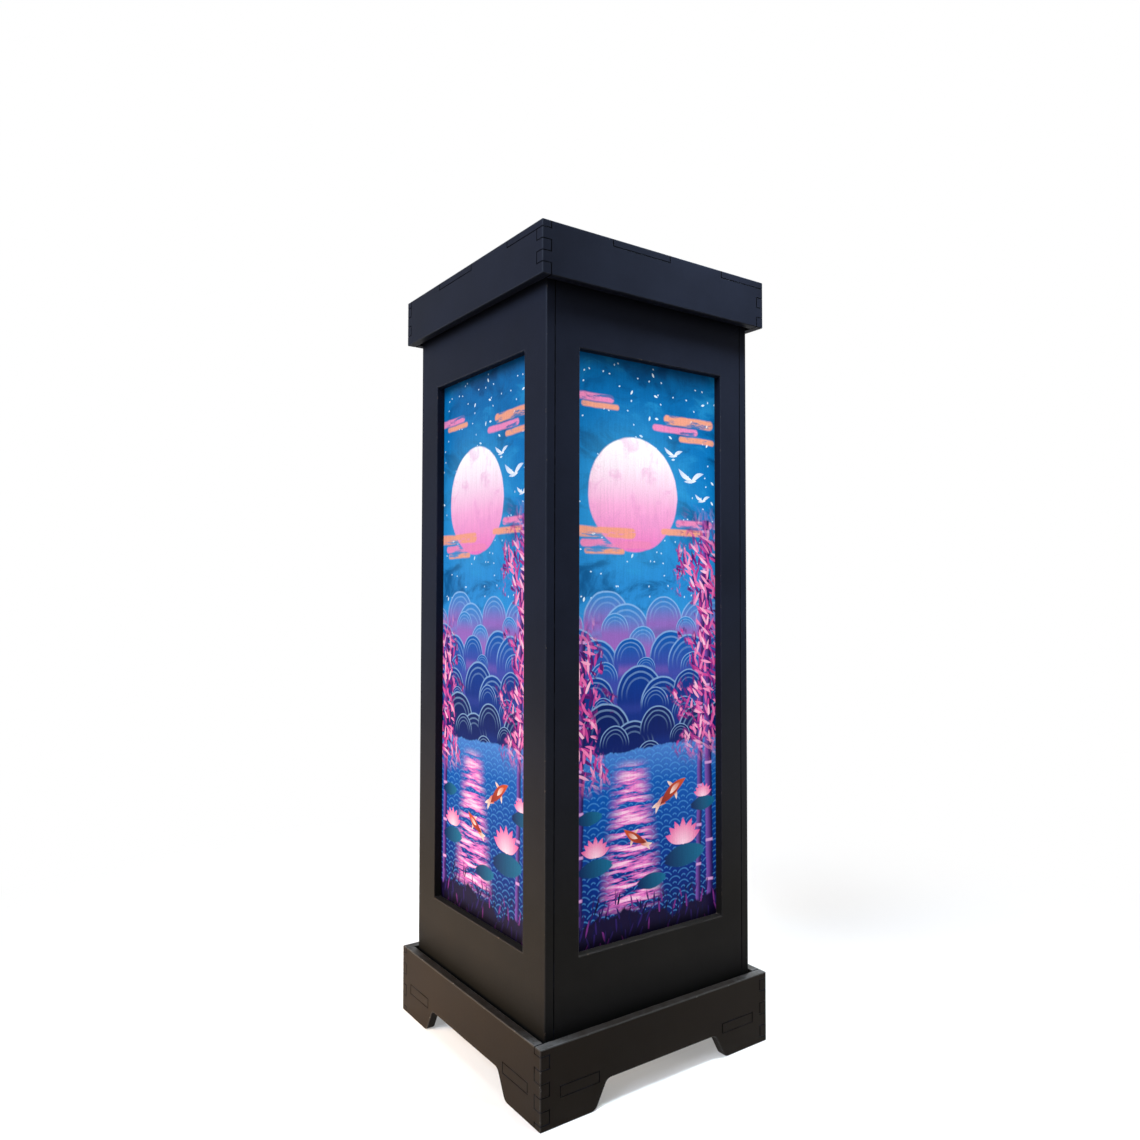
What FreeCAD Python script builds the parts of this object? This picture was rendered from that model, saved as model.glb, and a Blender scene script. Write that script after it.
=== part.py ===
"""Square table lamp of finger-jointed plywood plates, with a lift-off cap and printed, back-lit windows.

Millimetres, +Z up. The origin is on the table, under the middle of the lamp. The front faces -Y.
Every upright plate is drawn as the front one and turned about Z to its own side.
"""

import FreeCAD
import Part

import math
import os

from FreeCAD import Vector

# Overall sizes
overall_height = 340.0
body_side = 109.0
base_height = 30.0
cap_height = 21.0

# Plates and clearances
wall = 4.0
top_sheet = 3.0
slip_gap = 1.5
joint_gap = 0.15

# Base: fingers, feet, and a floor level with the top of the arches
base_fingers = 5
foot_width = 25.5
foot_flare = 5.7
toe_radius = 3.5
arch_height = 10.5
arch_radius = 3.0
floor_tab_length = 18.0
floor_tab_inset = 9.0

# Body: window, foot tabs, corner posts and printed sheets
stile = 16.0
lower_rail = 27.5
upper_rail = 24.0
foot_tab_length = 16.0
foot_tab_web = 5.0
post_side = 8.0
post_drop = 3.0
print_thickness = 2.0
print_lap = 10.0
print_gap = 0.3

# Cap: fingers and the tabs of its top plate
cap_fingers = 4
top_tab_pitch = 30.0

# Grommet for the lead, in the floor towards the back right corner
grommet_spacing = 2.0
grommet_bore_radius = 3.25
grommet_neck_radius = 5.0
grommet_rim_radius = 7.0
grommet_rim = 2.0
grommet_edge_radius = 0.8
grommet_gap = 0.1

# Lamp holder with an E27 screw shell
holder_flange = 5.0
holder_flange_margin = 1.3
holder_cup_wall = 5.2
holder_cup_taper = 1.2
holder_height = 38.0
holder_cavity_floor = 12.0
holder_edge_radius = 1.5
shell_thickness = 0.8
shell_gap = 0.1
shell_height = 22.0
shell_lip_radius = 8.0
contact_width = 5.0
contact_heel = 7.0
contact_bend = 3.5
contact_tongue = 2.4
contact_end = 3.5
contact_rise = 4.0
contact_thickness = 0.6
lead_notch_width = 8.0
lead_notch_height = 3.5

# Screws that hold the holder to the floor
screw_spacing = 1.1
screw_shank_radius = 1.7
screw_head_radius = 3.2
screw_head_height = 2.2
screw_dome_radius = 1.8
screw_end_cover = 0.4
screw_gap = 0.05

# E27 bulb
screw_cap_radius = 13.1
screw_cap_wall = 0.7
screw_cap_length = 22.0
thread_gap = 0.3
tip_radius = 4.5
tip_height = 1.7
tip_chamfer = 1.0
insulator_height = 4.0
insulator_inset = 0.9
bulb_radius = 27.5
bulb_neck_overhang = 0.8
bulb_collar = 3.0
bulb_flare_height = 37.0
bulb_flare_sag = 2.2
housing_wall = 1.6
housing_plug = 14.0
globe_height = 30.0
globe_wall = 1.2
board_thickness = 1.6
board_gap = 0.2
chip_side = 3.0
chip_height = 0.7
chip_ring_radius = 14.5
chip_ring_count = 9

# Places worked out from the sizes above
sleeve_side = body_side + 2 * (slip_gap + wall)
sleeve_half = sleeve_side / 2
floor_tab_offset = sleeve_half - floor_tab_inset - floor_tab_length / 2
foot_tab_offset = floor_tab_offset - (floor_tab_length + foot_tab_length) / 2 - foot_tab_web
body_half = body_side / 2
inner_half = body_half - wall
floor_top = arch_height + wall
plate_top = overall_height - top_sheet
cap_bottom = overall_height - cap_height
window_bottom = base_height + lower_rail
window_top = cap_bottom - upper_rail
holder_cavity_radius = screw_cap_radius + thread_gap + shell_thickness + shell_gap
holder_cup_radius = holder_cavity_radius + holder_cup_wall
holder_cup_foot = holder_cup_radius + holder_cup_taper
screw_offset = holder_cup_foot + holder_edge_radius + screw_spacing + screw_head_radius
holder_flange_radius = screw_offset + screw_head_radius + holder_flange_margin
grommet_offset = (holder_flange_radius + grommet_spacing + grommet_rim_radius) * math.sqrt(0.5)
insulator_radius = screw_cap_radius - insulator_inset
bulb_neck_radius = screw_cap_radius + bulb_neck_overhang
contact_top = floor_top + holder_cavity_floor + contact_rise
tip_bottom = contact_top + thread_gap
screw_cap_base = tip_bottom + tip_height + insulator_height
screw_cap_rim = screw_cap_base + screw_cap_length
flare_start = screw_cap_rim + bulb_collar
globe_base = flare_start + bulb_flare_height

SIDES = {"front": 0, "right": 90, "back": 180, "left": 270}
LEAD_ANGLE = 45
Z_AXIS = Vector(0, 0, 1)
ORIGIN = Vector(0, 0, 0)


def corner(point, before, after, radius):
    """Return where a rounded corner's arc starts, passes and ends between its two neighbours."""
    to_before = (before - point).normalize()
    to_after = (after - point).normalize()
    half_angle = to_before.getAngle(to_after) / 2
    run = radius / math.tan(half_angle)
    reach = radius / math.sin(half_angle) - radius
    middle = point + (to_before + to_after).normalize() * reach
    return point + to_before * run, middle, point + to_after * run


def outline(corners, to_space):
    """Return a closed wire through (a, b) or (a, b, radius) corners, put in space by to_space(a, b)."""
    points = [to_space(c[0], c[1]) for c in corners]
    radii = [c[2] if len(c) > 2 else 0.0 for c in corners]
    kept = [i for i, p in enumerate(points) if p.distanceToPoint(points[i - 1]) > 1e-6]
    edges = []
    legs = []
    for place, index in enumerate(kept):
        point = points[index]
        before = points[kept[place - 1]]
        after = points[kept[(place + 1) % len(kept)]]
        if radii[index]:
            start, middle, end = corner(point, before, after, radii[index])
            legs.append((start, end, Part.Arc(start, middle, end).toShape()))
        else:
            legs.append((point, point, None))
    for place, (start, end, arc) in enumerate(legs):
        if arc:
            edges.append(arc)
        following = legs[(place + 1) % len(legs)][0]
        if end.distanceToPoint(following) > 1e-6:
            edges.append(Part.LineSegment(end, following).toShape())
    return Part.Wire(edges)


def upright(a, b):
    """Place a drawing point on the XZ plane."""
    return Vector(a, 0, b)


def level(a, b):
    """Place a drawing point on the XY plane."""
    return Vector(a, b, 0)


def rectangle(a_low, a_high, b_low, b_high):
    """Return the corners of a rectangle."""
    return [(a_low, b_low), (a_high, b_low), (a_high, b_high), (a_low, b_high)]


def holed_face(outer, holes):
    """Return the flat face inside one wire and outside the others."""
    return Part.makeFace([outer] + holes, "Part::FaceMakerBullseye")


def upright_plate(corners, holes, face_distance, thickness):
    """Return a plate drawn as the front one, with its outer face at face_distance from the middle."""
    wires = [outline(hole, upright) for hole in holes]
    plate = holed_face(outline(corners, upright), wires).extrude(Vector(0, thickness, 0))
    plate.translate(Vector(0, -face_distance, 0))
    return plate


def level_plate(corners, holes, bottom, thickness):
    """Return a flat-lying plate with round holes given as (x, y, radius)."""
    wires = [Part.Wire(Part.makeCircle(r, Vector(x, y, 0))) for x, y, r in holes]
    plate = holed_face(outline(corners, level), wires).extrude(Vector(0, 0, thickness))
    plate.translate(Vector(0, 0, bottom))
    return plate


def turned(corners):
    """Return the solid of a (radius, height) profile turned about Z."""
    return Part.Face(outline(corners, upright)).revolve(ORIGIN, Z_AXIS, 360)


def to_side(shape, side):
    """Return a copy of a front piece turned to another side."""
    return shape.copy().rotate(ORIGIN, Z_AXIS, SIDES[side])


def all_round(edge):
    """Return a square outline whose front edge, drawn left to right, is repeated on four sides."""
    corners = []
    for degrees in SIDES.values():
        cos = round(math.cos(math.radians(degrees)))
        sin = round(math.sin(math.radians(degrees)))
        corners += [(x * cos - y * sin, x * sin + y * cos) for x, y in edge]
    return corners


def finger_edge(levels, first_out):
    """Return the right-hand edge of a finger-jointed wall, upwards: fingers and notches between levels."""
    inset = sleeve_half - wall - joint_gap
    edge = []
    for index in range(len(levels) - 1):
        is_finger = (index % 2 == 0) == first_out
        clearance = joint_gap / 2 if is_finger else -joint_gap / 2
        low = levels[index] + (clearance if index else 0)
        high = levels[index + 1] - (clearance if index < len(levels) - 2 else 0)
        reach = sleeve_half if is_finger else inset
        edge += [(reach, low), (reach, high)]
    return edge


def mirrored(edge):
    """Return an upward right-hand edge as the downward left-hand one."""
    return [(-x, z) for x, z in reversed(edge)]


def base_wall(first_out):
    """Return a front base wall: finger ends, two feet and an arch, two slots for the floor's tabs."""
    step = base_height / (base_fingers + 1)
    levels = [0.0] + [step * (k + 0.5) for k in range(base_fingers + 1)] + [base_height]
    side = finger_edge(levels, first_out)
    toe = sleeve_half - foot_width
    crown = toe - foot_flare
    arch = [
        (-toe, 0.0, toe_radius),
        (-crown, arch_height, arch_radius),
        (crown, arch_height, arch_radius),
        (toe, 0.0, toe_radius),
    ]
    half_slot = floor_tab_length / 2 + joint_gap
    slots = [
        rectangle(x - half_slot, x + half_slot, arch_height - joint_gap, floor_top + joint_gap)
        for x in (-floor_tab_offset, floor_tab_offset)
    ]
    return upright_plate(arch + side + mirrored(side), slots, sleeve_half, wall)


def screw_places():
    """Return the two holder screws' places on the floor."""
    return [(-screw_offset, 0.0), (screw_offset, 0.0)]


def base_floor():
    """Return the floor: tabs through the walls, notches for the foot tabs, holes for grommet and screws."""
    edge_line = -(sleeve_half - wall - joint_gap)
    notch_line = -(inner_half - joint_gap)
    steps = [
        (-floor_tab_offset, floor_tab_length / 2, -sleeve_half),
        (-foot_tab_offset, foot_tab_length / 2 + joint_gap, notch_line),
        (foot_tab_offset, foot_tab_length / 2 + joint_gap, notch_line),
        (floor_tab_offset, floor_tab_length / 2, -sleeve_half),
    ]
    edge = [(edge_line, edge_line)]
    for middle, half, line in steps:
        edge += [(middle - half, edge_line), (middle - half, line)]
        edge += [(middle + half, line), (middle + half, edge_line)]
    holes = [(x, y, screw_shank_radius + screw_gap) for x, y in screw_places()]
    holes.append((grommet_offset, grommet_offset, grommet_neck_radius + grommet_gap))
    return level_plate(all_round(edge), holes, arch_height, wall)


def body_panel(width):
    """Return a front body plate of the given width: one tall window, and two tabs down into the floor."""
    half = width / 2
    half_tab = foot_tab_length / 2
    foot = [(-half, floor_top)]
    for middle in (-foot_tab_offset, foot_tab_offset):
        foot += [(middle - half_tab, floor_top), (middle - half_tab, arch_height)]
        foot += [(middle + half_tab, arch_height), (middle + half_tab, floor_top)]
    corners = foot + [(half, floor_top), (half, plate_top), (-half, plate_top)]
    opening = body_half - stile
    window = rectangle(-opening, opening, window_bottom, window_top)
    return upright_plate(corners, [window], body_half, wall)


def print_sheet():
    """Return the front printed sheet, between two corner posts and behind the plate."""
    half = inner_half - post_side - print_gap
    corners = rectangle(-half, half, window_bottom - print_lap, window_top + print_lap)
    return upright_plate(corners, [], inner_half, print_thickness)


def corner_post():
    """Return the batten in the front left corner of the body."""
    inner = -(inner_half - post_side)
    corners = rectangle(-inner_half, inner, -inner_half, inner)
    return level_plate(corners, [], floor_top, plate_top - post_drop - floor_top)


def top_tab_bounds():
    """Return where the top plate's two tabs and the two wall stretches change along a side, left to right."""
    first = -sleeve_half + wall
    return first, first + top_tab_pitch, first + 2 * top_tab_pitch, first + 3 * top_tab_pitch


def cap_wall_plate(first_out):
    """Return a front cap wall: fingers under the top plate, and two stretches that rise between its tabs."""
    seat = plate_top - joint_gap
    step = (plate_top - cap_bottom) / cap_fingers
    levels = [cap_bottom + step * k for k in range(cap_fingers)] + [seat]
    side = finger_edge(levels, first_out)
    first, second, third, fourth = top_tab_bounds()
    crest = []
    for start, end in ((third, fourth), (first, second)):
        crest += [(end - joint_gap, seat), (end - joint_gap, overall_height)]
        crest += [(start + joint_gap, overall_height), (start + joint_gap, seat)]
    return upright_plate(side + crest + mirrored(side), [], sleeve_half, wall)


def cap_top():
    """Return the cap's top plate, whose tabs and corners reach the outer faces of the walls."""
    inner_line = -(sleeve_half - wall - joint_gap)
    first, second, third, fourth = top_tab_bounds()
    edge = [(-sleeve_half, -sleeve_half)]
    for start, end in ((first, second), (third, fourth)):
        edge += [(start, -sleeve_half), (start, inner_line), (end, inner_line), (end, -sleeve_half)]
    return level_plate(all_round(edge), [], plate_top, top_sheet)


def cord_grommet():
    """Return the rubber ring in the floor: a neck through the plate and a rim on each face."""
    low = arch_height - grommet_rim
    high = floor_top + grommet_rim
    ring = turned([
        (grommet_bore_radius, low),
        (grommet_rim_radius, low, grommet_edge_radius),
        (grommet_rim_radius, arch_height),
        (grommet_neck_radius, arch_height),
        (grommet_neck_radius, floor_top),
        (grommet_rim_radius, floor_top),
        (grommet_rim_radius, high, grommet_edge_radius),
        (grommet_bore_radius, high),
    ])
    ring.translate(Vector(grommet_offset, grommet_offset, 0))
    return ring


def holder_body():
    """Return the moulded holder: a flange on the floor, notched for the lead, and a cup for the shell."""
    top = floor_top + holder_height
    cavity = floor_top + holder_cavity_floor
    flange_top = floor_top + holder_flange
    body = turned([
        (0.0, floor_top),
        (holder_flange_radius, floor_top),
        (holder_flange_radius, flange_top, holder_edge_radius),
        (holder_cup_foot, flange_top, holder_edge_radius),
        (holder_cup_radius, top, holder_edge_radius),
        (holder_cavity_radius, top),
        (holder_cavity_radius, cavity),
        (0.0, cavity),
    ])
    half_notch = lead_notch_width / 2
    notch_outline = rectangle(holder_cup_radius, holder_flange_radius, -half_notch, half_notch)
    notch = level_plate(notch_outline, [], floor_top, lead_notch_height)
    body = body.cut(notch.rotate(ORIGIN, Z_AXIS, LEAD_ANGLE))
    for x, y in screw_places():
        hole = Part.makeCylinder(screw_shank_radius + screw_gap, holder_flange, Vector(x, y, floor_top))
        body = body.cut(hole)
    return body


def holder_shell():
    """Return the brass screw shell: a sleeve with a lip on the cup's floor."""
    low = floor_top + holder_cavity_floor
    outer = holder_cavity_radius - shell_gap
    inner = outer - shell_thickness
    return turned([
        (shell_lip_radius, low),
        (outer, low),
        (outer, low + shell_height),
        (inner, low + shell_height),
        (inner, low + shell_thickness),
        (shell_lip_radius, low + shell_thickness),
    ])


def holder_contact():
    """Return the centre contact: a strip on the cup's floor that rises to the bulb's tip."""
    low = floor_top + holder_cavity_floor
    corners = [
        (-contact_heel, low),
        (-contact_bend, low),
        (contact_tongue, contact_top - contact_thickness),
        (contact_end, contact_top - contact_thickness),
        (contact_end, contact_top),
        (contact_tongue - contact_thickness / 2, contact_top),
        (-contact_bend - contact_thickness / 2, low + contact_thickness),
        (-contact_heel, low + contact_thickness),
    ]
    return upright_plate(corners, [], contact_width / 2, contact_width)


def holder_screws():
    """Return the two domed screws that hold the flange to the floor."""
    seat = floor_top + holder_flange
    screw = turned([
        (0.0, arch_height + screw_end_cover),
        (screw_shank_radius, arch_height + screw_end_cover),
        (screw_shank_radius, seat),
        (screw_head_radius, seat),
        (screw_head_radius, seat + screw_head_height, screw_dome_radius),
        (0.0, seat + screw_head_height),
    ])
    screws = []
    for x, y in screw_places():
        one = screw.copy()
        one.translate(Vector(x, y, 0))
        screws.append(one)
    return Part.makeCompound(screws)


def bulb_tip():
    """Return the contact button under the bulb."""
    return turned([
        (0.0, tip_bottom),
        (tip_radius - tip_chamfer, tip_bottom),
        (tip_radius, tip_bottom + tip_chamfer),
        (tip_radius, tip_bottom + tip_height),
        (0.0, tip_bottom + tip_height),
    ])


def bulb_insulator():
    """Return the cone between the tip contact and the screw cap."""
    low = tip_bottom + tip_height
    return turned([
        (0.0, low),
        (tip_radius, low),
        (insulator_radius, screw_cap_base),
        (0.0, screw_cap_base),
    ])


def bulb_screw_cap():
    """Return the bulb's metal screw cap, with a lip on the insulator."""
    inner = screw_cap_radius - screw_cap_wall
    return turned([
        (insulator_radius - screw_cap_wall, screw_cap_base),
        (screw_cap_radius, screw_cap_base, screw_cap_wall),
        (screw_cap_radius, screw_cap_rim),
        (inner, screw_cap_rim),
        (inner, screw_cap_base + screw_cap_wall),
        (insulator_radius - screw_cap_wall, screw_cap_base + screw_cap_wall),
    ])


def flare(inset, low, high):
    """Return the housing's flaring edge, inset from its outer face, from low to high and slightly hollow."""
    start = Vector(bulb_neck_radius - inset, 0, low)
    end = Vector(bulb_radius - inset, 0, high)
    along = (end - start).normalize()
    middle = (start + end) / 2 + Vector(-along.z, 0, along.x) * bulb_flare_sag
    return start, end, Part.Arc(start, middle, end).toShape()


def bulb_housing():
    """Return the bulb's housing: a plug inside the screw cap, and a flaring cup with a seat for the board."""
    plug = screw_cap_radius - screw_cap_wall - shell_gap
    plug_low = screw_cap_rim - housing_plug
    seat = globe_base - board_thickness
    outer_start, outer_end, outer_arc = flare(0.0, flare_start, globe_base)
    inner_start, inner_end, inner_arc = flare(2 * housing_wall, flare_start, seat)
    rebate = bulb_radius - housing_wall
    path = [
        inner_start,
        upright(plug - housing_wall, plug_low),
        upright(plug, plug_low),
        upright(plug, screw_cap_rim),
        upright(bulb_neck_radius, screw_cap_rim),
        outer_start,
    ]
    rim = [outer_end, upright(rebate, globe_base), upright(rebate, seat), inner_end]
    edges = [Part.LineSegment(a, b).toShape() for a, b in zip(path, path[1:])]
    edges += [outer_arc]
    edges += [Part.LineSegment(a, b).toShape() for a, b in zip(rim, rim[1:])]
    edges += [inner_arc]
    return Part.Face(Part.Wire(Part.__sortEdges__(edges))).revolve(ORIGIN, Z_AXIS, 360)


def led_board():
    """Return the metal board on the housing's rebate."""
    radius = bulb_radius - housing_wall - board_gap
    return Part.makeCylinder(radius, board_thickness, Vector(0, 0, globe_base - board_thickness))


def led_chips():
    """Return the light-emitting chips: a ring of small blocks on the board."""
    chips = []
    for k in range(chip_ring_count):
        chip = Part.makeBox(chip_side, chip_side, chip_height)
        chip.translate(Vector(chip_ring_radius - chip_side / 2, -chip_side / 2, globe_base))
        chips.append(chip.rotate(ORIGIN, Z_AXIS, 360 * k / chip_ring_count))
    return Part.makeCompound(chips)


def bulb_globe():
    """Return the opal globe: a thin dome whose round passes through the housing's rim and the crown."""
    centre = globe_base + (globe_height - bulb_radius ** 2 / globe_height) / 2
    middle = Vector(0, 0, centre)
    radius = globe_base + globe_height - centre
    ball = Part.makeSphere(radius, middle)
    hollow = Part.makeSphere(radius - globe_wall, middle)
    below = Part.makeCylinder(2 * radius, 2 * radius, Vector(0, 0, globe_base - 2 * radius))
    return ball.cut(hollow).cut(below)


def base_pieces():
    """Return the base's pieces by name."""
    pieces = {"base_floor": base_floor(), "cord_grommet": cord_grommet()}
    for side in SIDES:
        wall_plate = base_wall(first_out=side in ("front", "back"))
        pieces[f"base_{side}_wall"] = to_side(wall_plate, side)
    return pieces


def body_pieces():
    """Return the body's pieces by name: the front and back plates stand between the left and right ones."""
    pieces = {}
    for side in SIDES:
        between = side in ("front", "back")
        width = body_side - 2 * (wall + joint_gap) if between else body_side
        pieces[f"body_{side}_panel"] = to_side(body_panel(width), side)
        pieces[f"print_{side}"] = to_side(print_sheet(), side)
    corners = {"front_left": "front", "front_right": "right", "back_right": "back", "back_left": "left"}
    for name, side in corners.items():
        pieces[f"post_{name}"] = to_side(corner_post(), side)
    return pieces


def cap_pieces():
    """Return the cap's pieces by name."""
    pieces = {"cap_top": cap_top()}
    for side in SIDES:
        wall_plate = cap_wall_plate(first_out=side in ("left", "right"))
        pieces[f"cap_{side}_wall"] = to_side(wall_plate, side)
    return pieces


def light_pieces():
    """Return the holder's and the bulb's pieces by name."""
    return {
        "holder_body": holder_body(),
        "holder_shell": holder_shell(),
        "holder_contact": holder_contact(),
        "holder_screws": holder_screws(),
        "bulb_tip": bulb_tip(),
        "bulb_insulator": bulb_insulator(),
        "bulb_screw_cap": bulb_screw_cap(),
        "bulb_housing": bulb_housing(),
        "led_board": led_board(),
        "led_chips": led_chips(),
        "bulb_globe": bulb_globe(),
    }


def main():
    """Write every piece to its own file."""
    os.makedirs("parts", exist_ok=True)
    for pieces in (base_pieces(), body_pieces(), cap_pieces(), light_pieces()):
        for name, shape in pieces.items():
            print(f"{name}: valid {shape.isValid()}, volume {shape.Volume:.1f} mm3")
            shape.exportStep(f"parts/{name}.step")


main()
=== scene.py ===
"""Lantern table lamp: eased painted plates, printed back-lit windows, and the lamp holder and bulb inside.

Metres, +Z up, front towards -Y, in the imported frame. Plates are merged copies of their CAD solids
with eased edges. Threads and screw heads are surfaces worked out on grids. Every finish is built
from nodes.
"""

import logging
import math
from collections.abc import Callable, Iterable, Sequence
from dataclasses import dataclass, field
from enum import Enum, IntEnum
from typing import Any

import bmesh
import bpy
import numpy as np
from mathutils import Matrix, Vector
from mathutils.bvhtree import BVHTree


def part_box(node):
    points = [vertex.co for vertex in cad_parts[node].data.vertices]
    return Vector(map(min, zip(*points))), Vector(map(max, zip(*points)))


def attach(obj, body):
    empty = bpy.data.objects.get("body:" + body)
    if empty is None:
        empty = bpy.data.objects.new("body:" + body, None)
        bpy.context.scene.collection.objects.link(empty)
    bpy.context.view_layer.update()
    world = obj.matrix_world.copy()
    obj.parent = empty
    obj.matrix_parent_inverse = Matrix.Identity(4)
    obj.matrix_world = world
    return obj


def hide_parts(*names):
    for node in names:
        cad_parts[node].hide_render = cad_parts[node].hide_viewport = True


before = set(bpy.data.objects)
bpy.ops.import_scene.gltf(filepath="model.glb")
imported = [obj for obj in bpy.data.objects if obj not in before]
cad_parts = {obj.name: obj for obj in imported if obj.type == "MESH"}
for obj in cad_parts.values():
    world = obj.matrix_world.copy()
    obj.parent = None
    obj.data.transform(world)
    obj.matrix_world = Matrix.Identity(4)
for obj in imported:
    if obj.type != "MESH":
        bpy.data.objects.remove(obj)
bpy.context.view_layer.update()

LOG = logging.getLogger("lamp")
MM = 0.001
COPY_GRID = 1e6  # steps to a metre that a copy's points are rounded to
WELD = 1e-7  # metres within which a grid's points are one
Colour = tuple[float, float, float, float]
Socket = bpy.types.NodeSocket
WHITE: Colour = (1.0, 1.0, 1.0, 1.0)


def srgb(red: float, green: float, blue: float) -> Colour:
    """Return a colour given in display values from 0 to 255 as linear light.

    Args:
        red: display value of red.
        green: display value of green.
        blue: display value of blue.

    Returns:
        The linear colour with full alpha.
    """
    shares = np.array((red, green, blue)) / 255.0
    linear = np.where(shares <= 0.04045, shares / 12.92, ((shares + 0.055) / 1.055) ** 2.4)
    return (float(linear[0]), float(linear[1]), float(linear[2]), 1.0)


class Side(Enum):
    """The lamp's four sides, by the words that the CAD nodes use."""

    FRONT = "front"
    RIGHT = "right"
    BACK = "back"
    LEFT = "left"


def side_nodes(pattern: str) -> tuple[str, ...]:
    """Return the four sides' node names from a pattern with {} for the side."""
    return tuple(pattern.format(side.value) for side in Side)


class PlateSlot(IntEnum):
    """A painted plate's material slots: its faces, its free edges, and its upright and level joints."""

    FACE = 0
    EDGE = 1
    UPRIGHT_JOINT = 2
    LEVEL_JOINT = 3


def sum_method(operation: str, swapped: bool = False) -> Callable[..., "Value"]:
    """Make a method that puts a number and others into a Math node.

    Args:
        operation: the node's operation.
        swapped: whether the number comes last.

    Returns:
        The method, which returns the node's result.
    """
    def method(self: "Value", *others: Any) -> "Value":
        """Return the result of the sum."""
        values = (*others, self) if swapped else (self, *others)
        return self.nodes.math(operation, *values)

    return method


class Value:
    """A number in a node tree, which takes part in sums as a plain number does.

    Besides the usual signs, times_plus gives the number times a factor, plus a start.
    """

    __add__ = sum_method("ADD")
    __sub__ = sum_method("SUBTRACT")
    __rsub__ = sum_method("SUBTRACT", swapped=True)
    __mul__ = sum_method("MULTIPLY")
    __rmul__ = sum_method("MULTIPLY", swapped=True)
    __truediv__ = sum_method("DIVIDE")
    __abs__ = sum_method("ABSOLUTE")
    times_plus = sum_method("MULTIPLY_ADD")

    def __init__(self, nodes: "Nodes", socket: Socket) -> None:
        """Keep the tree that sums go into, and the socket that gives the number."""
        self.nodes = nodes
        self.socket = socket


class Nodes:
    """A node tree with short ways to add and join nodes."""

    def __init__(self, tree: bpy.types.NodeTree) -> None:
        """Keep the tree that the nodes go into."""
        self.tree = tree

    def put(self, socket: Socket, value: Any) -> None:
        """Link a socket to another one, or set its value.

        Args:
            socket: the input.
            value: a number in the tree, an output socket, or a plain number, vector or colour.
        """
        if isinstance(value, Value):
            value = value.socket
        if isinstance(value, bpy.types.NodeSocket):
            self.tree.links.new(value, socket)
        else:
            socket.default_value = value

    def fill(self, node: bpy.types.Node, inputs: dict[Any, Any]) -> None:
        """Link or set a node's inputs, by their name or number."""
        for key, value in inputs.items():
            self.put(node.inputs[key], value)

    def add(self, kind: str, inputs: dict[Any, Any] | None = None, **settings: Any) -> bpy.types.Node:
        """Add a node.

        Args:
            kind: the node's type name without the leading ShaderNode.
            inputs: values or sockets by the input's name or number.
            settings: properties of the node.

        Returns:
            The new node.
        """
        node = self.tree.nodes.new("ShaderNode" + kind)
        for name, value in settings.items():
            setattr(node, name, value)
        self.fill(node, inputs or {})
        return node

    def math(self, operation: str, *values: Any) -> Value:
        """Return the result of a Math node on up to three values."""
        return Value(self, self.add("Math", dict(enumerate(values)), operation=operation).outputs[0])

    def vector(self, operation: str, *values: Any) -> Socket:
        """Return the vector result of a Vector Math node."""
        return self.add("VectorMath", dict(enumerate(values)), operation=operation).outputs[0]

    def stretched(self, vector: Socket, scale: Sequence[float]) -> Socket:
        """Return a vector multiplied by three numbers."""
        return self.vector("MULTIPLY", vector, tuple(scale))

    def scaled(self, vector: Any, share: Any) -> Socket:
        """Return a vector or a colour multiplied by one number."""
        return self.add("VectorMath", {0: vector, "Scale": share}, operation="SCALE").outputs[0]

    def length(self, vector: Socket) -> Value:
        """Return a vector's length."""
        return Value(self, self.add("VectorMath", {0: vector}, operation="LENGTH").outputs["Value"])

    def combine(self, x: Any, y: Any, z: Any = 0.0) -> Socket:
        """Return a vector made of three values."""
        return self.add("CombineXYZ", {0: x, 1: y, 2: z}).outputs[0]

    def separate(self, vector: Socket) -> list[Value]:
        """Return a vector's three values."""
        return [Value(self, output) for output in self.add("SeparateXYZ", {0: vector}).outputs]

    def remap(self, value: Any, low: float, high: float, to_low: float = 0.0,
              to_high: float = 1.0) -> Value:
        """Return a value moved from one range to another, held at its ends."""
        inputs = {0: value, 1: low, 2: high, 3: to_low, 4: to_high}
        return Value(self, self.add("MapRange", inputs, interpolation_type="SMOOTHSTEP").outputs[0])

    def mix(self, factor: Any, first: Any, second: Any) -> Socket:
        """Return a mix of two colours."""
        inputs = {0: factor, 6: first, 7: second}
        return self.add("Mix", inputs, data_type="RGBA", clamp_factor=True).outputs[2]

    def noise(self, vector: Socket, scale: float, detail: float = 2.0, roughness: float = 0.5,
              distortion: float = 0.0) -> Value:
        """Return a Noise Texture's value at a vector."""
        inputs = {"Vector": vector, "Scale": scale, "Detail": detail, "Roughness": roughness,
                  "Distortion": distortion}
        return Value(self, self.add("TexNoise", inputs).outputs[0])

    def ramp(self, factor: Any, stops: Sequence[tuple[float, Colour]]) -> Socket:
        """Return a colour ramp's colour.

        Args:
            factor: the place along the ramp.
            stops: (place, colour) pairs in order.

        Returns:
            The colour socket.
        """
        node = self.add("ValToRGB", {0: factor})
        elements = node.color_ramp.elements
        while len(elements) < len(stops):
            elements.new(1.0)
        for element, (place, colour) in zip(elements, stops):
            element.position = place
            element.color = colour
        return node.outputs[0]

    def bump(self, height: Value, distance: float) -> Socket:
        """Return the normal of a surface raised by a height of the given distance."""
        return self.add("Bump", {"Distance": distance, "Height": height}).outputs[0]

    def seen(self) -> Value:
        """Tell the rays by which a floor and a surround are seen.

        Returns:
            One for rays from the camera, from gloss and through glass.
        """
        path = self.add("LightPath").outputs
        shown = self.math("MAXIMUM", path["Is Camera Ray"], path["Is Glossy Ray"])
        return self.math("MAXIMUM", shown, path["Is Transmission Ray"])


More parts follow.
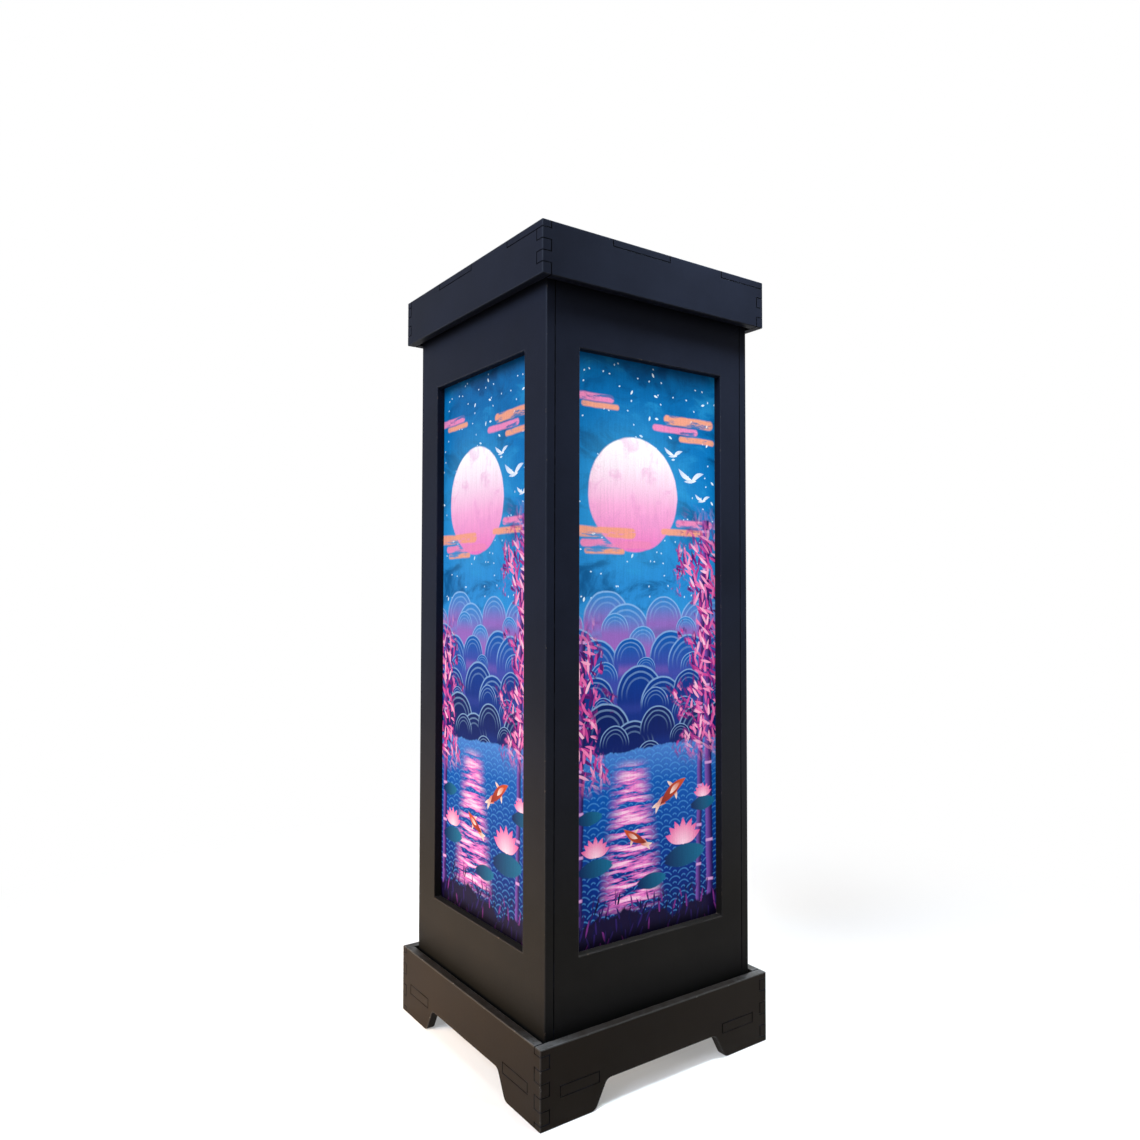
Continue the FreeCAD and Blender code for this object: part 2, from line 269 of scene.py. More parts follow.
@dataclass(frozen=True)
class Finish:
    """A surface finish: a named material with one main shader.

    Attributes:
        name: the material's name.
        colour: the main colour, linear.
        roughness: how much the surface blurs reflections.
    """

    name: str
    colour: Colour
    roughness: float

    GRAIN = 900.0  # grains to a metre
    GRAIN_DEPTH = 0.02 * MM

    def material(self) -> bpy.types.Material:
        """Build the material the first time it is asked for.

        Returns:
            The material.
        """
        found = bpy.data.materials.get(self.name)
        if found:
            return found
        material = bpy.data.materials.new(self.name)
        material.use_nodes = True
        nodes = Nodes(material.node_tree)
        shader = material.node_tree.nodes["Principled BSDF"]
        nodes.fill(shader, {"Base Color": self.colour, "Roughness": self.roughness})
        self.paint(nodes, shader)
        return material

    def paint(self, nodes: Nodes, shader: bpy.types.Node) -> None:
        """Add the finish's own pattern to the shader; a plain finish has a faint grain.

        Args:
            nodes: the tree to paint in.
            shader: the shader to set.
        """
        grain = nodes.noise(self.place(nodes), self.GRAIN, 3.0)
        rough = nodes.remap(grain, 0.3, 0.7, self.roughness - 0.05, self.roughness + 0.05)
        nodes.fill(shader, {"Roughness": rough, "Normal": nodes.bump(grain, self.GRAIN_DEPTH)})

    @staticmethod
    def place(nodes: Nodes) -> Socket:
        """Return the object's own coordinates."""
        return nodes.add("TexCoord").outputs["Object"]


@dataclass(frozen=True)
class BlackPaint(Finish):
    """Matte black paint on plywood: a fine sprayed grain over a faint, stretched wood grain.

    Attributes:
        gloss: strength of the paint's gloss.
        gloss_tint: colour of that gloss.
        chips: how much bare wood shows where the paint is chipped; none on a face.
        chip_scale: chips to a metre.
        bare: colour of the chips.
        dust: scuffs and dust on faces that look up, most at the corners, and a painted highlight.
        dust_colour: colour of the scuffs and of the painted highlight.
        corner: how far out the corners lie, along x and along y.
    """

    gloss: float = 0.038
    gloss_tint: Colour = (0.84, 0.91, 1.0, 1.0)
    chips: float = 0.0
    chip_scale: float = 330.0
    bare: Colour = srgb(112, 98, 82)
    dust: float = 0.0
    dust_colour: Colour = srgb(112, 114, 116)
    corner: float = 60 * MM

    CLOUDS = 28.0  # cloudy patches to a metre
    SPRAY = 2600.0  # sprayed grains to a metre
    SPRAY_DEPTH = 0.035 * MM
    WOOD = 720.0  # lines of the wood to a metre
    WOOD_STRETCH = (1.0, 1.0, 0.06)
    SCUFFS = 240.0  # scuffs to a metre

    def paint(self, nodes: Nodes, shader: bpy.types.Node) -> None:
        """Add cloudy colour, sprayed grain, faint wood grain, dusty scuffs on a ledge and chips on an edge.

        The scuffs on a ledge also carry a painted highlight of the light from above.

        Args:
            nodes: the tree to paint in.
            shader: the shader to set.
        """
        place = self.place(nodes)
        cloud = nodes.noise(place, self.CLOUDS, 4.0, 0.6)
        spray = nodes.noise(place, self.SPRAY, 2.0, 0.6)
        share = nodes.remap(cloud, 0.3, 0.7, 0.88, 1.14) + nodes.remap(spray, 0.55, 0.75, 0.0, 0.18)
        tone = nodes.scaled(self.ground(nodes, place), share)
        # dusty scuffs and a painted highlight of the light from above, on faces that look up
        if self.dust:
            tone = nodes.mix(self.settled(nodes, place), tone, self.dust_colour)
        if self.chips:
            chip = nodes.noise(place, self.chip_scale, 3.0, 0.7)
            tone = nodes.mix(nodes.remap(chip, 0.62, 0.69, 0.0, self.chips), tone, self.bare)
        wood = nodes.noise(nodes.stretched(place, self.WOOD_STRETCH), self.WOOD, 3.0, 0.6)
        nodes.fill(shader, {
            "Base Color": tone,
            "Roughness": cloud.times_plus(0.1, spray.times_plus(0.16, self.roughness - 0.13)),
            "Normal": nodes.bump(wood.times_plus(0.6, spray), self.SPRAY_DEPTH),
            "Specular IOR Level": self.gloss,
            "Specular Tint": self.gloss_tint,
        })

    def settled(self, nodes: Nodes, place: Socket) -> Value:
        """Work out how scuffed a place is, with a painted highlight from above on the same patches.

        They lie in patches, where the surface looks up, most at the corners.

        Args:
            nodes: the tree to paint in.
            place: the object's coordinates.

        Returns:
            The share of scuffs and painted highlight.
        """
        _, _, up = nodes.separate(nodes.add("NewGeometry").outputs["Normal"])
        patch = nodes.remap(nodes.noise(place, self.SCUFFS, 4.0, 0.65), 0.4, 0.62, 0.3, 1.0)
        x, y, _ = nodes.separate(place)
        near = nodes.remap(abs(x) + abs(y), 1.6 * self.corner, 1.96 * self.corner, 0.15, 1.0)
        return nodes.remap(up, 0.6, 0.95, 0.0, self.dust) * (patch * near)

    def ground(self, nodes: Nodes, place: Socket) -> Any:
        """Return the paint's colour at a place: here it is the same all over."""
        return self.colour[:3]


@dataclass(frozen=True)
class BodyPaint(BlackPaint):
    """Black paint with painted light in its colour, which changes with height.

    Towards the body's foot it is browner, a painted warm light from below; just above the base's ledge
    it is darkest, a painted shade in that corner.

    Attributes:
        brown: its colour towards the foot, painted warm light.
        deep: its colour in the corner above the ledge, painted shade.
        ledge: the ledge's height.
        height: the lamp's height.
    """

    brown: Colour = srgb(27, 25, 23)
    deep: Colour = srgb(8, 8, 8)
    ledge: float = 30 * MM
    height: float = 340 * MM

    def ground(self, nodes: Nodes, place: Socket) -> Any:
        """Work out the paint's colour by its height, with the painted shade and warm light near the foot.

        Args:
            nodes: the tree to paint in.
            place: the object's coordinates.

        Returns:
            The colour.
        """
        _, _, up = nodes.separate(place)
        start = self.ledge / self.height
        # painted shade just above the ledge, then painted warm light that fades into the plain colour higher
        # up
        stops = [(start, self.deep), (start + 0.05, self.brown), (0.2, self.brown), (0.55, self.colour)]
        return nodes.ramp(up / self.height, stops)


@dataclass(frozen=True)
class OpenJoint(BlackPaint):
    """The groove where two plates meet: painted over in places, and elsewhere near black.

    Its near black colour is painted shade, the shade that falls in the open groove.

    Attributes:
        paint_over: colour of the paint that fills the groove in places.
        filled: the share of the groove that is painted over.
    """

    paint_over: Colour = srgb(24, 26, 32)
    filled: float = 0.5

    STRETCHES = 120.0  # painted stretches to a metre

    def paint(self, nodes: Nodes, shader: bpy.types.Node) -> None:
        """Add stretches where paint fills the groove.

        Args:
            nodes: the tree to paint in.
            shader: the shader to set.
        """
        stretch = nodes.noise(self.place(nodes), self.STRETCHES, 3.0, 0.55)
        border = 0.36 + 0.28 * self.filled
        cover = nodes.remap(stretch, border + 0.05, border - 0.05)
        # the open groove's colour is painted shade; the painted-over stretches take the paint's colour
        tone = nodes.mix(cover, self.colour, self.paint_over)
        nodes.fill(shader, {"Base Color": tone, "Specular IOR Level": self.gloss})


@dataclass(frozen=True)
class PaintSet:
    """A plate's finishes, in the order of its material slots.

    Attributes:
        face: its faces' finish.
        edge: its free edges' finish.
        upright_joint: the finish of upright edges that lie against another plate.
        level_joint: the finish of level edges that lie against another plate.
    """

    face: Finish
    edge: Finish
    upright_joint: Finish
    level_joint: Finish

    def by_slot(self) -> dict[PlateSlot, Finish]:
        """Return the finishes by slot."""
        return dict(zip(PlateSlot, (self.face, self.edge, self.upright_joint, self.level_joint)))


@dataclass(frozen=True)
class BareWood(Finish):
    """Planed softwood: growth lines stretched along the batten.

    Attributes:
        dark: colour of the growth lines.
    """

    dark: Colour = srgb(150, 112, 70)

    STRETCH = (1.0, 1.0, 0.05)
    LINES = 420.0  # growth lines to a metre
    PORES = 2400.0  # pores to a metre
    PORE_DEPTH = 0.05 * MM

    def paint(self, nodes: Nodes, shader: bpy.types.Node) -> None:
        """Add growth lines and pores.

        Args:
            nodes: the tree to paint in.
            shader: the shader to set.
        """
        place = nodes.stretched(self.place(nodes), self.STRETCH)
        wave = nodes.noise(place, self.LINES, 4.0, 0.6, 1.2)
        pores = nodes.noise(place, self.PORES, 2.0)
        tone = nodes.mix(nodes.remap(wave, 0.35, 0.65), self.colour, self.dark)
        tone = nodes.mix(nodes.remap(pores, 0.5, 0.8, 0.0, 0.4), tone, self.dark)
        nodes.fill(shader, {"Base Color": tone, "Normal": nodes.bump(pores, self.PORE_DEPTH)})


@dataclass(frozen=True)
class Metal(Finish):
    """Pressed or plated metal with fine drawing marks round its axis."""

    MARKS = 400.0  # drawing marks to a metre, before they are squeezed along the axis
    MARK_SQUEEZE = (1.0, 1.0, 14.0)
    MARK_DEPTH = 0.01 * MM
    TARNISH = 160.0  # dull patches to a metre

    def paint(self, nodes: Nodes, shader: bpy.types.Node) -> None:
        """Add drawing marks and slight tarnish.

        Args:
            nodes: the tree to paint in.
            shader: the shader to set.
        """
        place = self.place(nodes)
        marks = nodes.noise(nodes.stretched(place, self.MARK_SQUEEZE), self.MARKS, 3.0)
        tarnish = nodes.noise(place, self.TARNISH, 4.0)
        dull = tuple(0.7 * c for c in self.colour[:3]) + (1.0,)
        nodes.fill(shader, {
            "Metallic": 1.0,
            "Base Color": nodes.mix(nodes.remap(tarnish, 0.45, 0.75), self.colour, dull),
            "Roughness": nodes.remap(marks, 0.3, 0.7, self.roughness - 0.06, self.roughness + 0.1),
            "Normal": nodes.bump(marks, self.MARK_DEPTH),
        })


@dataclass(frozen=True)
class Glow(Finish):
    """A pale surface that gives off some light of its own.

    Attributes:
        light: strength of that light.
    """

    light: float = 1.0

    def paint(self, nodes: Nodes, shader: bpy.types.Node) -> None:
        """Add the light and a faint moulded grain.

        Args:
            nodes: the tree to paint in.
            shader: the shader to set.
        """
        super().paint(nodes, shader)
        nodes.fill(shader, {"Emission Color": self.colour, "Emission Strength": self.light})


@dataclass(frozen=True)
class PaleFloor(Finish):
    """A floor that is pale under the lamp and white further out where it is seen.

    In the light that it throws back it is a table top's brown.

    Attributes:
        bounce: the colour of the light that it throws back.
        near: how far from the middle it starts to whiten.
        far: how far from the middle it is white.
    """

    bounce: Colour = (0.17, 0.125, 0.08, 1.0)
    near: float = 0.16
    far: float = 0.42

    def paint(self, nodes: Nodes, shader: bpy.types.Node) -> None:
        """Mix the floor's own shader with plain white by the distance from the middle.

        Args:
            nodes: the tree to paint in.
            shader: the shader to set.
        """
        tone = nodes.mix(nodes.seen(), self.bounce, self.colour)
        nodes.fill(shader, {"Base Color": tone, "Specular IOR Level": 0.0})
        away = nodes.length(self.place(nodes))
        shown = nodes.remap(away, self.near, self.far, 0.3, 1.0) * nodes.seen()
        white = nodes.add("Emission", {"Color": WHITE, "Strength": 1.0}).outputs[0]
        mixed = nodes.add("MixShader", {0: shown, 1: shader.outputs[0], 2: white}).outputs[0]
        nodes.fill(nodes.tree.nodes["Material Output"], {"Surface": mixed})


@dataclass(frozen=True)
class Stamp:
    """A shape that pictures are stamped with, kept as one node group.

    Attributes:
        name: the group's name.
        kinds: the kind of each of its inputs.
        shape: works out the mask and the colour from the tree, its inputs and the stamp's own coordinates.
    """

    name: str
    kinds: dict[str, str]
    shape: Callable[[Nodes, Any, Socket], tuple[Value, Socket]]

    MAPPED = {"Vector": "Place", "Location": "Location", "Rotation": "Rotation", "Scale": "Size"}

    def group(self) -> bpy.types.NodeTree:
        """Build the group the first time it is asked for.

        Returns:
            The group, which paints the shape over the paint beneath.
        """
        if self.name in bpy.data.node_groups:
            return bpy.data.node_groups[self.name]
        tree = bpy.data.node_groups.new(self.name, "ShaderNodeTree")
        for label, kind in self.kinds.items():
            tree.interface.new_socket(label, in_out="INPUT", socket_type="NodeSocket" + kind)
        tree.interface.new_socket("Colour", in_out="OUTPUT", socket_type="NodeSocketColor")
        nodes = Nodes(tree)
        given = tree.nodes.new("NodeGroupInput").outputs
        inputs = {key: given[label] for key, label in self.MAPPED.items() if label in self.kinds}
        local = nodes.add("Mapping", inputs, vector_type="TEXTURE").outputs[0]
        mask, tone = self.shape(nodes, given, local)
        done = nodes.mix(mask, given["Under"], tone)
        nodes.fill(tree.nodes.new("NodeGroupOutput"), {"Colour": done})
        return tree


def puff_shape(nodes: Nodes, given: Any, local: Socket) -> tuple[Value, Socket]:
    """Work out a puff: a disc with a light rim and two inner lines.

    All are rings of the distance from its middle, and fade out towards its foot.

    Args:
        nodes: the tree to work in.
        given: the group's inputs.
        local: the place from the puff's middle, in its radii.

    Returns:
        The mask and the colour.
    """
    away = nodes.length(local)
    _, up, _ = nodes.separate(local)
    body = nodes.mix(nodes.remap(up, -0.5, 0.9), given["Foot"], given["Crest"])
    lines = nodes.remap(away, 0.90, 0.94, 0.0, 0.6)
    for radius, strength in ((0.76, 0.32), (0.56, 0.2)):
        lines = lines + nodes.remap(abs(away - radius), 0.045, 0.02, 0.0, strength)
    lines = lines * nodes.remap(up, -0.2, 0.45)
    mask = nodes.remap(away, 1.0, 0.95) * nodes.remap(up, -0.85, -0.1)
    return mask, nodes.mix(lines, body, srgb(160, 200, 240))


def leaf_shape(nodes: Nodes, given: Any, local: Socket) -> tuple[Value, Socket]:
    """Work out a leaf, whose local width is one minus the square of the place along it.

    Args:
        nodes: the tree to work in.
        given: the group's inputs.
        local: the place from the leaf's middle, in its half length and half width.

    Returns:
        The mask and the colour.
    """
    along, across, _ = nodes.separate(local)
    square = along * along
    inside = 1.0 - square - abs(square.times_plus(given["Bend"], across))
    tone = nodes.mix(along.times_plus(0.5, 0.5), given["Root"], given["Tip"])
    return nodes.remap(inside, 0.0, 0.2), tone


PUFF = Stamp("puff stamp", {"Place": "Vector", "Under": "Color", "Crest": "Color", "Foot": "Color",
                            "Location": "Vector", "Size": "Vector"}, puff_shape)
LEAF = Stamp("leaf stamp", {"Place": "Vector", "Under": "Color", "Root": "Color", "Tip": "Color",
                            "Location": "Vector", "Rotation": "Vector", "Size": "Vector",
                            "Bend": "Float"}, leaf_shape)


class Picture:
    """A picture painted layer by layer with nodes, in units of the window's width.

    A layer is a mask worked out from the place (a across from the middle, b up from the window's foot)
    and a colour that is mixed over what is painted already. Each layer reads the place through the paint
    beneath it, moved by less than a hair, so that the renderer works through the layers one after another.
    """

    SOFT = 0.006  # half the width of a soft edge
    HAIR = 1e-6  # how far the paint beneath moves the place
    WOBBLE = 0.012  # how far drawn lines stray
    WAVES = 9.0  # strayings to a window's width
    CELL_SHIFT = (7.3, 3.1)  # how far one step of the seed moves strewn leaves

    def __init__(self, nodes: Nodes, place: Socket, ground: Colour) -> None:
        """Start a picture.

        Args:
            nodes: the tree to paint in.
            place: the picture's coordinates.
            ground: the first colour.
        """
        self.nodes = nodes
        wobble = nodes.add("TexNoise", {"Vector": place, "Scale": self.WAVES}).outputs["Color"]
        most, half = self.WOBBLE, self.WOBBLE / 2
        shift = nodes.vector("MULTIPLY_ADD", wobble, (most, most, 0.0), (-half, -half, 0.0))
        self.colour: Any = ground
        self.place = nodes.vector("ADD", place, shift)

    @property
    def a(self) -> Value:
        """Return the place across."""
        return self.nodes.separate(self.place)[0]

    @property
    def b(self) -> Value:
        """Return the place up."""
        return self.nodes.separate(self.place)[1]

    def take(self, colour: Socket) -> None:
        """Take the picture's new colour, and read the place through it."""
        self.colour = colour
        self.place = self.nodes.vector("MULTIPLY_ADD", colour, (self.HAIR,) * 3, self.place)

    def lay(self, mask: Value, colour: Any) -> None:
        """Mix a colour over the picture where the mask is one."""
        self.take(self.nodes.mix(mask, self.colour, colour))

    def step(self, value: Value, soft: float = SOFT) -> Value:
        """Return one where a value is above zero and zero where it is below, with a soft edge."""
        return self.nodes.remap(value, -soft, soft)

    def disc(self, centre: tuple[float, float], radius: float, soft: float = SOFT) -> Value:
        """Work out the mask of a disc: the radius less the distance from its centre.

        Args:
            centre: its centre.
            radius: its radius.
            soft: how soft its edge is.

        Returns:
            The mask.
        """
        away = self.nodes.vector("SUBTRACT", self.place, (*centre, 0.0))
        return self.step(radius - self.nodes.length(away), soft)

    def bar(self, centre: tuple[float, float], half_length: float, radius: float) -> Value:
        """Work out the mask of a round-ended level bar: its radius less the distance from its middle line.

        Args:
            centre: its centre.
            half_length: half the length of its middle line.
            radius: its radius.

        Returns:
            The mask.
        """
        past_end = self.nodes.math("MAXIMUM", abs(self.a - centre[0]) - half_length, 0.0)
        away = self.nodes.combine(past_end, self.b - centre[1])
        return self.step(radius - self.nodes.length(away))

    def bank_of(self, level: float, humps: Sequence[tuple[float, float, float]], rough: float) -> Value:
        """Work out how far below a bank's rounded outline a place lies.

        Args:
            level: the foot of the humps.
            humps: (height, humps across the window, phase) of each row of arches that is added up.
            rough: height of the fine noise on the outline.

        Returns:
            The depth below the outline, negative above it.
        """
        nodes = self.nodes
        outline: Any = level
        for height, count, phase in humps:
            arch = abs(nodes.math("SINE", self.a.times_plus(math.pi * count, phase)))
            outline = arch.times_plus(height, outline)
        fine = nodes.noise(nodes.combine(self.a, level), 14.0, 4.0, 0.6)
        return fine.times_plus(rough, outline) - self.b

    def scatter(self, seed: float, cells: float, turn: float, spread: float, size: tuple[float, float],
                chance: float) -> tuple[Value, Value]:
        """Work out the mask of pointed leaves strewn one to a cell, and a random number for each leaf.

        The mask is one where the local width, one minus the square of the place along the leaf, is more
        than the place across it.

        Args:
            seed: moves the cells.
            cells: cells to a window's width.
            turn: the leaves' mean direction in radians.
            spread: the range of directions in radians.
            size: half length and half width.
            chance: share of cells that have a leaf.

        Returns:
            The mask and the random number.
        """
        nodes = self.nodes
        moved = nodes.vector("ADD", self.place, (*(step * seed for step in self.CELL_SHIFT), 0.0))
        cell = nodes.add("TexVoronoi", {"Vector": moved, "Scale": cells}, voronoi_dimensions="2D")
        red, green, blue = nodes.separate(cell.outputs["Color"])
        local = nodes.vector("SUBTRACT", moved, cell.outputs["Position"])
        angle = (red - 0.5).times_plus(-spread, -turn)
        turned = nodes.add("VectorRotate", {"Vector": local, "Angle": angle}, rotation_type="Z_AXIS")
        along, across, _ = nodes.separate(nodes.vector("DIVIDE", turned.outputs[0], (*size, 1.0)))
        leaf = nodes.remap(1.0 - along * along - abs(across), 0.0, 0.25)
        return leaf * nodes.math("LESS_THAN", green, chance), blue

    def stamp(self, place: tuple[float, float], turn: float, size: tuple[float, float], bend: float,
              root: Colour, tip: Colour) -> None:
        """Paint one pointed, bent leaf or petal.

        Args:
            place: its middle.
            turn: its direction in radians.
            size: half length and half width.
            bend: how far its middle line curves, in half widths.
            root: colour at its root.
            tip: colour at its tip.
        """
        self.use(LEAF, {"Root": root, "Tip": tip, "Location": (*place, 0.0), "Rotation": (0.0, 0.0, turn),
                        "Size": (*size, 1.0), "Bend": bend})

    def puff(self, place: tuple[float, float], radius: float, crest: Colour, foot: Colour) -> None:
        """Paint one puff of cloud.

        Args:
            place: its middle.
            radius: its radius.
            crest: colour at its top.
            foot: colour that it fades into.
        """
        self.use(PUFF, {"Crest": crest, "Foot": foot, "Location": (*place, 0.0),
                        "Size": (radius, radius, 1.0)})

    def use(self, stamp: Stamp, values: dict[str, Any]) -> None:
        """Paint with a stamp.

        Args:
            stamp: the stamp.
            values: its inputs, apart from the place and the paint beneath.
        """
        inputs = {"Place": self.place, "Under": self.colour, **values}
        self.take(self.nodes.add("Group", inputs, node_tree=stamp.group()).outputs["Colour"])


class MoonlitPond(Picture):
    """A lotus pond by moonlight, between bamboos and below banks of cloud."""

    def draw(self) -> None:
        """Paint every layer, from the sky to the near bank."""
        for layer in (self.sky, self.moon, self.clouds, self.water, self.grove, self.pond, self.bank):
            layer()

    def sky(self) -> None:
        """Paint the night sky: a blue wash with drifting darker and lighter air, and white flecks."""
        nodes = self.nodes
        self.take(nodes.ramp(self.b / 3.1, [
            (0.40, srgb(150, 140, 205)),
            (0.55, srgb(48, 140, 208)),
            (0.75, srgb(12, 120, 188)),
            (1.00, srgb(4, 96, 156)),
        ]))
        drift = nodes.noise(nodes.stretched(self.place, (1.0, 1.6, 1.0)), 3.2, 5.0, 0.62, 0.8)
        self.lay(nodes.remap(drift, 0.48, 0.68, 0.0, 0.75), srgb(0, 62, 112))
        self.lay(nodes.remap(drift, 0.46, 0.30, 0.0, 0.5), srgb(40, 150, 205))
        flecks = (  # seed, cells, half length and half width, chance, colour
            (1.0, 9.0, (0.015, 0.007), 0.2, srgb(225, 240, 250)),
            (2.0, 16.0, (0.007, 0.005), 0.28, srgb(200, 225, 245)),
        )
        for seed, cells, size, chance, colour in flecks:
            mask, _ = self.scatter(seed, cells, 0.6, 3.0, size, chance)
            self.lay(mask, colour)

    def moon(self) -> None:
        """Paint a full moon, white above and pink below, with torn bands of mist and a few birds."""
        nodes = self.nodes
        centre = (-0.10, 2.36)
        radius = 0.31
        self.lay(self.disc(centre, 0.36, 0.22) * 0.5, srgb(70, 170, 220))
        face = nodes.ramp((self.b - (centre[1] - radius)) / (2 * radius), [
            (0.0, srgb(232, 116, 186)),
            (0.4, srgb(244, 170, 210)),
            (0.75, srgb(250, 232, 240)),
            (1.0, srgb(255, 255, 255)),
        ])
        seas = nodes.noise(self.place, 7.0, 3.0, 0.6, 0.4)
        face = nodes.mix(nodes.remap(seas, 0.5, 0.66, 0.0, 0.4), face, srgb(228, 146, 198))
        self.lay(self.disc(centre, radius), face)
        salmon = srgb(240, 158, 128)
        pink = srgb(236, 134, 180)
        bands = (  # middle, half length, half thickness, colour
            ((0.30, 2.80), 0.16, 0.026, salmon),
            ((0.20, 2.745), 0.15, 0.018, pink),
            ((0.36, 2.70), 0.12, 0.016, salmon),
            ((-0.34, 2.15), 0.22, 0.028, salmon),
            ((-0.22, 2.09), 0.22, 0.020, pink),
            ((-0.30, 2.05), 0.12, 0.014, salmon),
            ((0.34, 2.22), 0.12, 0.020, pink),
            ((0.27, 2.17), 0.16, 0.018, salmon),
            ((-0.40, 2.86), 0.14, 0.020, pink),
            ((-0.33, 2.82), 0.11, 0.014, salmon),
        )
        torn = nodes.noise(nodes.stretched(self.place, (5.0, 26.0, 1.0)), 1.0, 4.0, 0.65)
        cover = nodes.remap(torn, 0.36, 0.5, 0.1, 0.95)
        for place, half_length, thick, colour in bands:
            self.lay(self.bar(place, half_length, thick) * cover, colour)
        white = srgb(250, 250, 255)
        grey = srgb(180, 200, 228)
        for x, y, s in ((0.31, 2.47, 1.0), (0.18, 2.60, 0.7), (0.40, 2.36, 0.6)):
            wing = (0.06 * s, 0.016 * s)
            self.stamp((x - 0.045 * s, y + 0.022 * s), 2.65, wing, 0.9, white, grey)
            self.stamp((x + 0.050 * s, y + 0.026 * s), 0.55, wing, 0.9, white, grey)
            self.stamp((x, y - 0.004 * s), 0.1, (0.05 * s, 0.011 * s), 0.2, grey, white)

    def clouds(self) -> None:
        """Paint four banks of cloud, paler with distance: rows of large puffs, with small ones before them.

        Along a row the puffs' places, heights and radii swing with sines of their number.
        """
        banks = (  # level, crest, foot
            (1.60, srgb(52, 128, 196), srgb(150, 98, 180)),
            (1.40, srgb(10, 84, 164), srgb(60, 72, 160)),
            (1.20, srgb(4, 54, 134), srgb(18, 46, 124)),
            (1.00, srgb(4, 28, 90), srgb(10, 30, 96)),
        )
        rows = ((6, 0.0, 0.115), (5, -0.06, 0.07))  # puffs, height from the level, least radius
        for seed, (level, crest, foot) in enumerate(banks):
            self.lay(self.step(level - self.b, 0.03), foot)
            for count, low, size in rows:
                for index in range(count):
                    across = 1.1 * (index / (count - 1) - 0.5) + 0.05 * math.sin(2.1 * index + 1.7 * seed)
                    up = level + low + 0.09 * abs(math.sin(1.3 * index + 1.1 * seed + 0.4))
                    radius = size * (1.0 + 0.45 * abs(math.sin(2.2 * index + 1.9 * seed)))
                    self.puff((across, up), radius, crest, foot)

    def water(self) -> None:
        """Paint the pond: overlapping fans of ripples in rows, and the moon's glitter in level dashes.

        A place belongs to the lowest row whose nearest fan centre is within a fan's radius.
        """
        nodes = self.nodes
        shore = self.bank_of(0.95, [(0.03, 0.8, 0.6)], 0.05)
        deep = nodes.ramp(self.b, [
            (0.0, srgb(10, 18, 70)),
            (0.35, srgb(4, 46, 128)),
            (0.8, srgb(6, 82, 166)),
            (1.0, srgb(70, 122, 196)),
        ])
        pitch = 0.125
        rise = pitch / 4
        row = nodes.math("FLOOR", self.b / rise)
        ripple: Any = 0.0
        for behind in (1.0, 0.0, -1.0, -2.0):
            this = row + behind
            odd = nodes.math("FLOORED_MODULO", this, 2.0) * (pitch / 2)
            off = nodes.math("PINGPONG", self.a - odd, pitch / 2)
            away = nodes.length(nodes.combine(off, self.b - this * rise))
            inside = nodes.math("LESS_THAN", away, pitch / 2)
            ring = nodes.math("PINGPONG", away / (pitch / 8), 1.0)
            ripple = ring.times_plus(inside, ripple * (1.0 - inside))
        lines = nodes.remap(ripple, 0.62, 0.9, 0.0, 0.42)
        self.lay(self.step(shore), nodes.mix(lines, deep, srgb(84, 158, 220)))
        dash = nodes.noise(nodes.stretched(self.place, (4.0, 34.0, 1.0)), 1.0, 3.0, 0.6)
        spread = self.b.times_plus(-0.14, 0.22)
        path = nodes.remap(spread - abs(self.a + 0.12), -0.05, 0.09)
        glitter = nodes.remap(dash, 0.42, 0.52) * path
        glitter = glitter * self.step(0.9 - self.b, 0.05) * self.step(self.b - 0.16, 0.05)
        pinks = nodes.mix(nodes.remap(dash, 0.5, 0.64), srgb(226, 110, 190), srgb(252, 200, 226))
        self.lay(glitter, pinks)

    def grove(self) -> None:
        """Paint bamboo at both sides: jointed stems in violet and navy, and leaves in pinks."""
        nodes = self.nodes
        stems = (  # foot, lean, half width, top
            (0.455, -0.012, 0.026, 2.25),
            (0.36, 0.022, 0.019, 1.95),
            (-0.47, 0.014, 0.022, 1.60),
        )
        for foot, lean, half, top in stems:
            off = self.a - self.b.times_plus(lean, foot)
            joint = nodes.math("PINGPONG", self.b + foot, 0.11)
            body = self.step(half - abs(off)) * self.step(top - self.b)
            tone = nodes.mix(nodes.remap(off, -half, half), srgb(120, 76, 164), srgb(22, 18, 76))
            tone = nodes.mix(nodes.remap(joint, 0.012, 0.004), tone, srgb(206, 150, 206))
            self.lay(body, tone)
        pinks = (  # the two colours between which a layer's leaves vary
            (srgb(70, 20, 96), srgb(120, 36, 126)),
            (srgb(160, 44, 128), srgb(206, 70, 150)),
            (srgb(220, 90, 160), srgb(240, 130, 182)),
            (srgb(242, 140, 186), srgb(252, 192, 216)),
        )
        for index, (low, high) in enumerate(pinks):
            inset = 0.015 * index
            chance = 0.95 - 0.16 * index
            for seed in (3.0, 4.0):
                edge = nodes.noise(nodes.stretched(self.place, (2.0, 1.7, 1.0)), 2.6, 4.0, 0.6)
                right = self.step(edge.times_plus(0.80, self.a - (0.64 + inset)), 0.03)
                left = self.step(edge.times_plus(0.70, (-0.66 - inset) - self.a), 0.03)
                tall = right * nodes.remap(self.b, 0.85, 1.1) * nodes.remap(self.b, 2.35, 2.0)
                short = left * nodes.remap(self.b, 0.75, 0.95) * nodes.remap(self.b, 1.75, 1.45)
                region = nodes.math("MAXIMUM", short, tall)
                mask, tone = self.scatter(seed + 2 * index, 14.0, -1.15, 1.9, (0.046, 0.0095), chance)
                self.lay(mask * region, nodes.mix(tone, low, high))

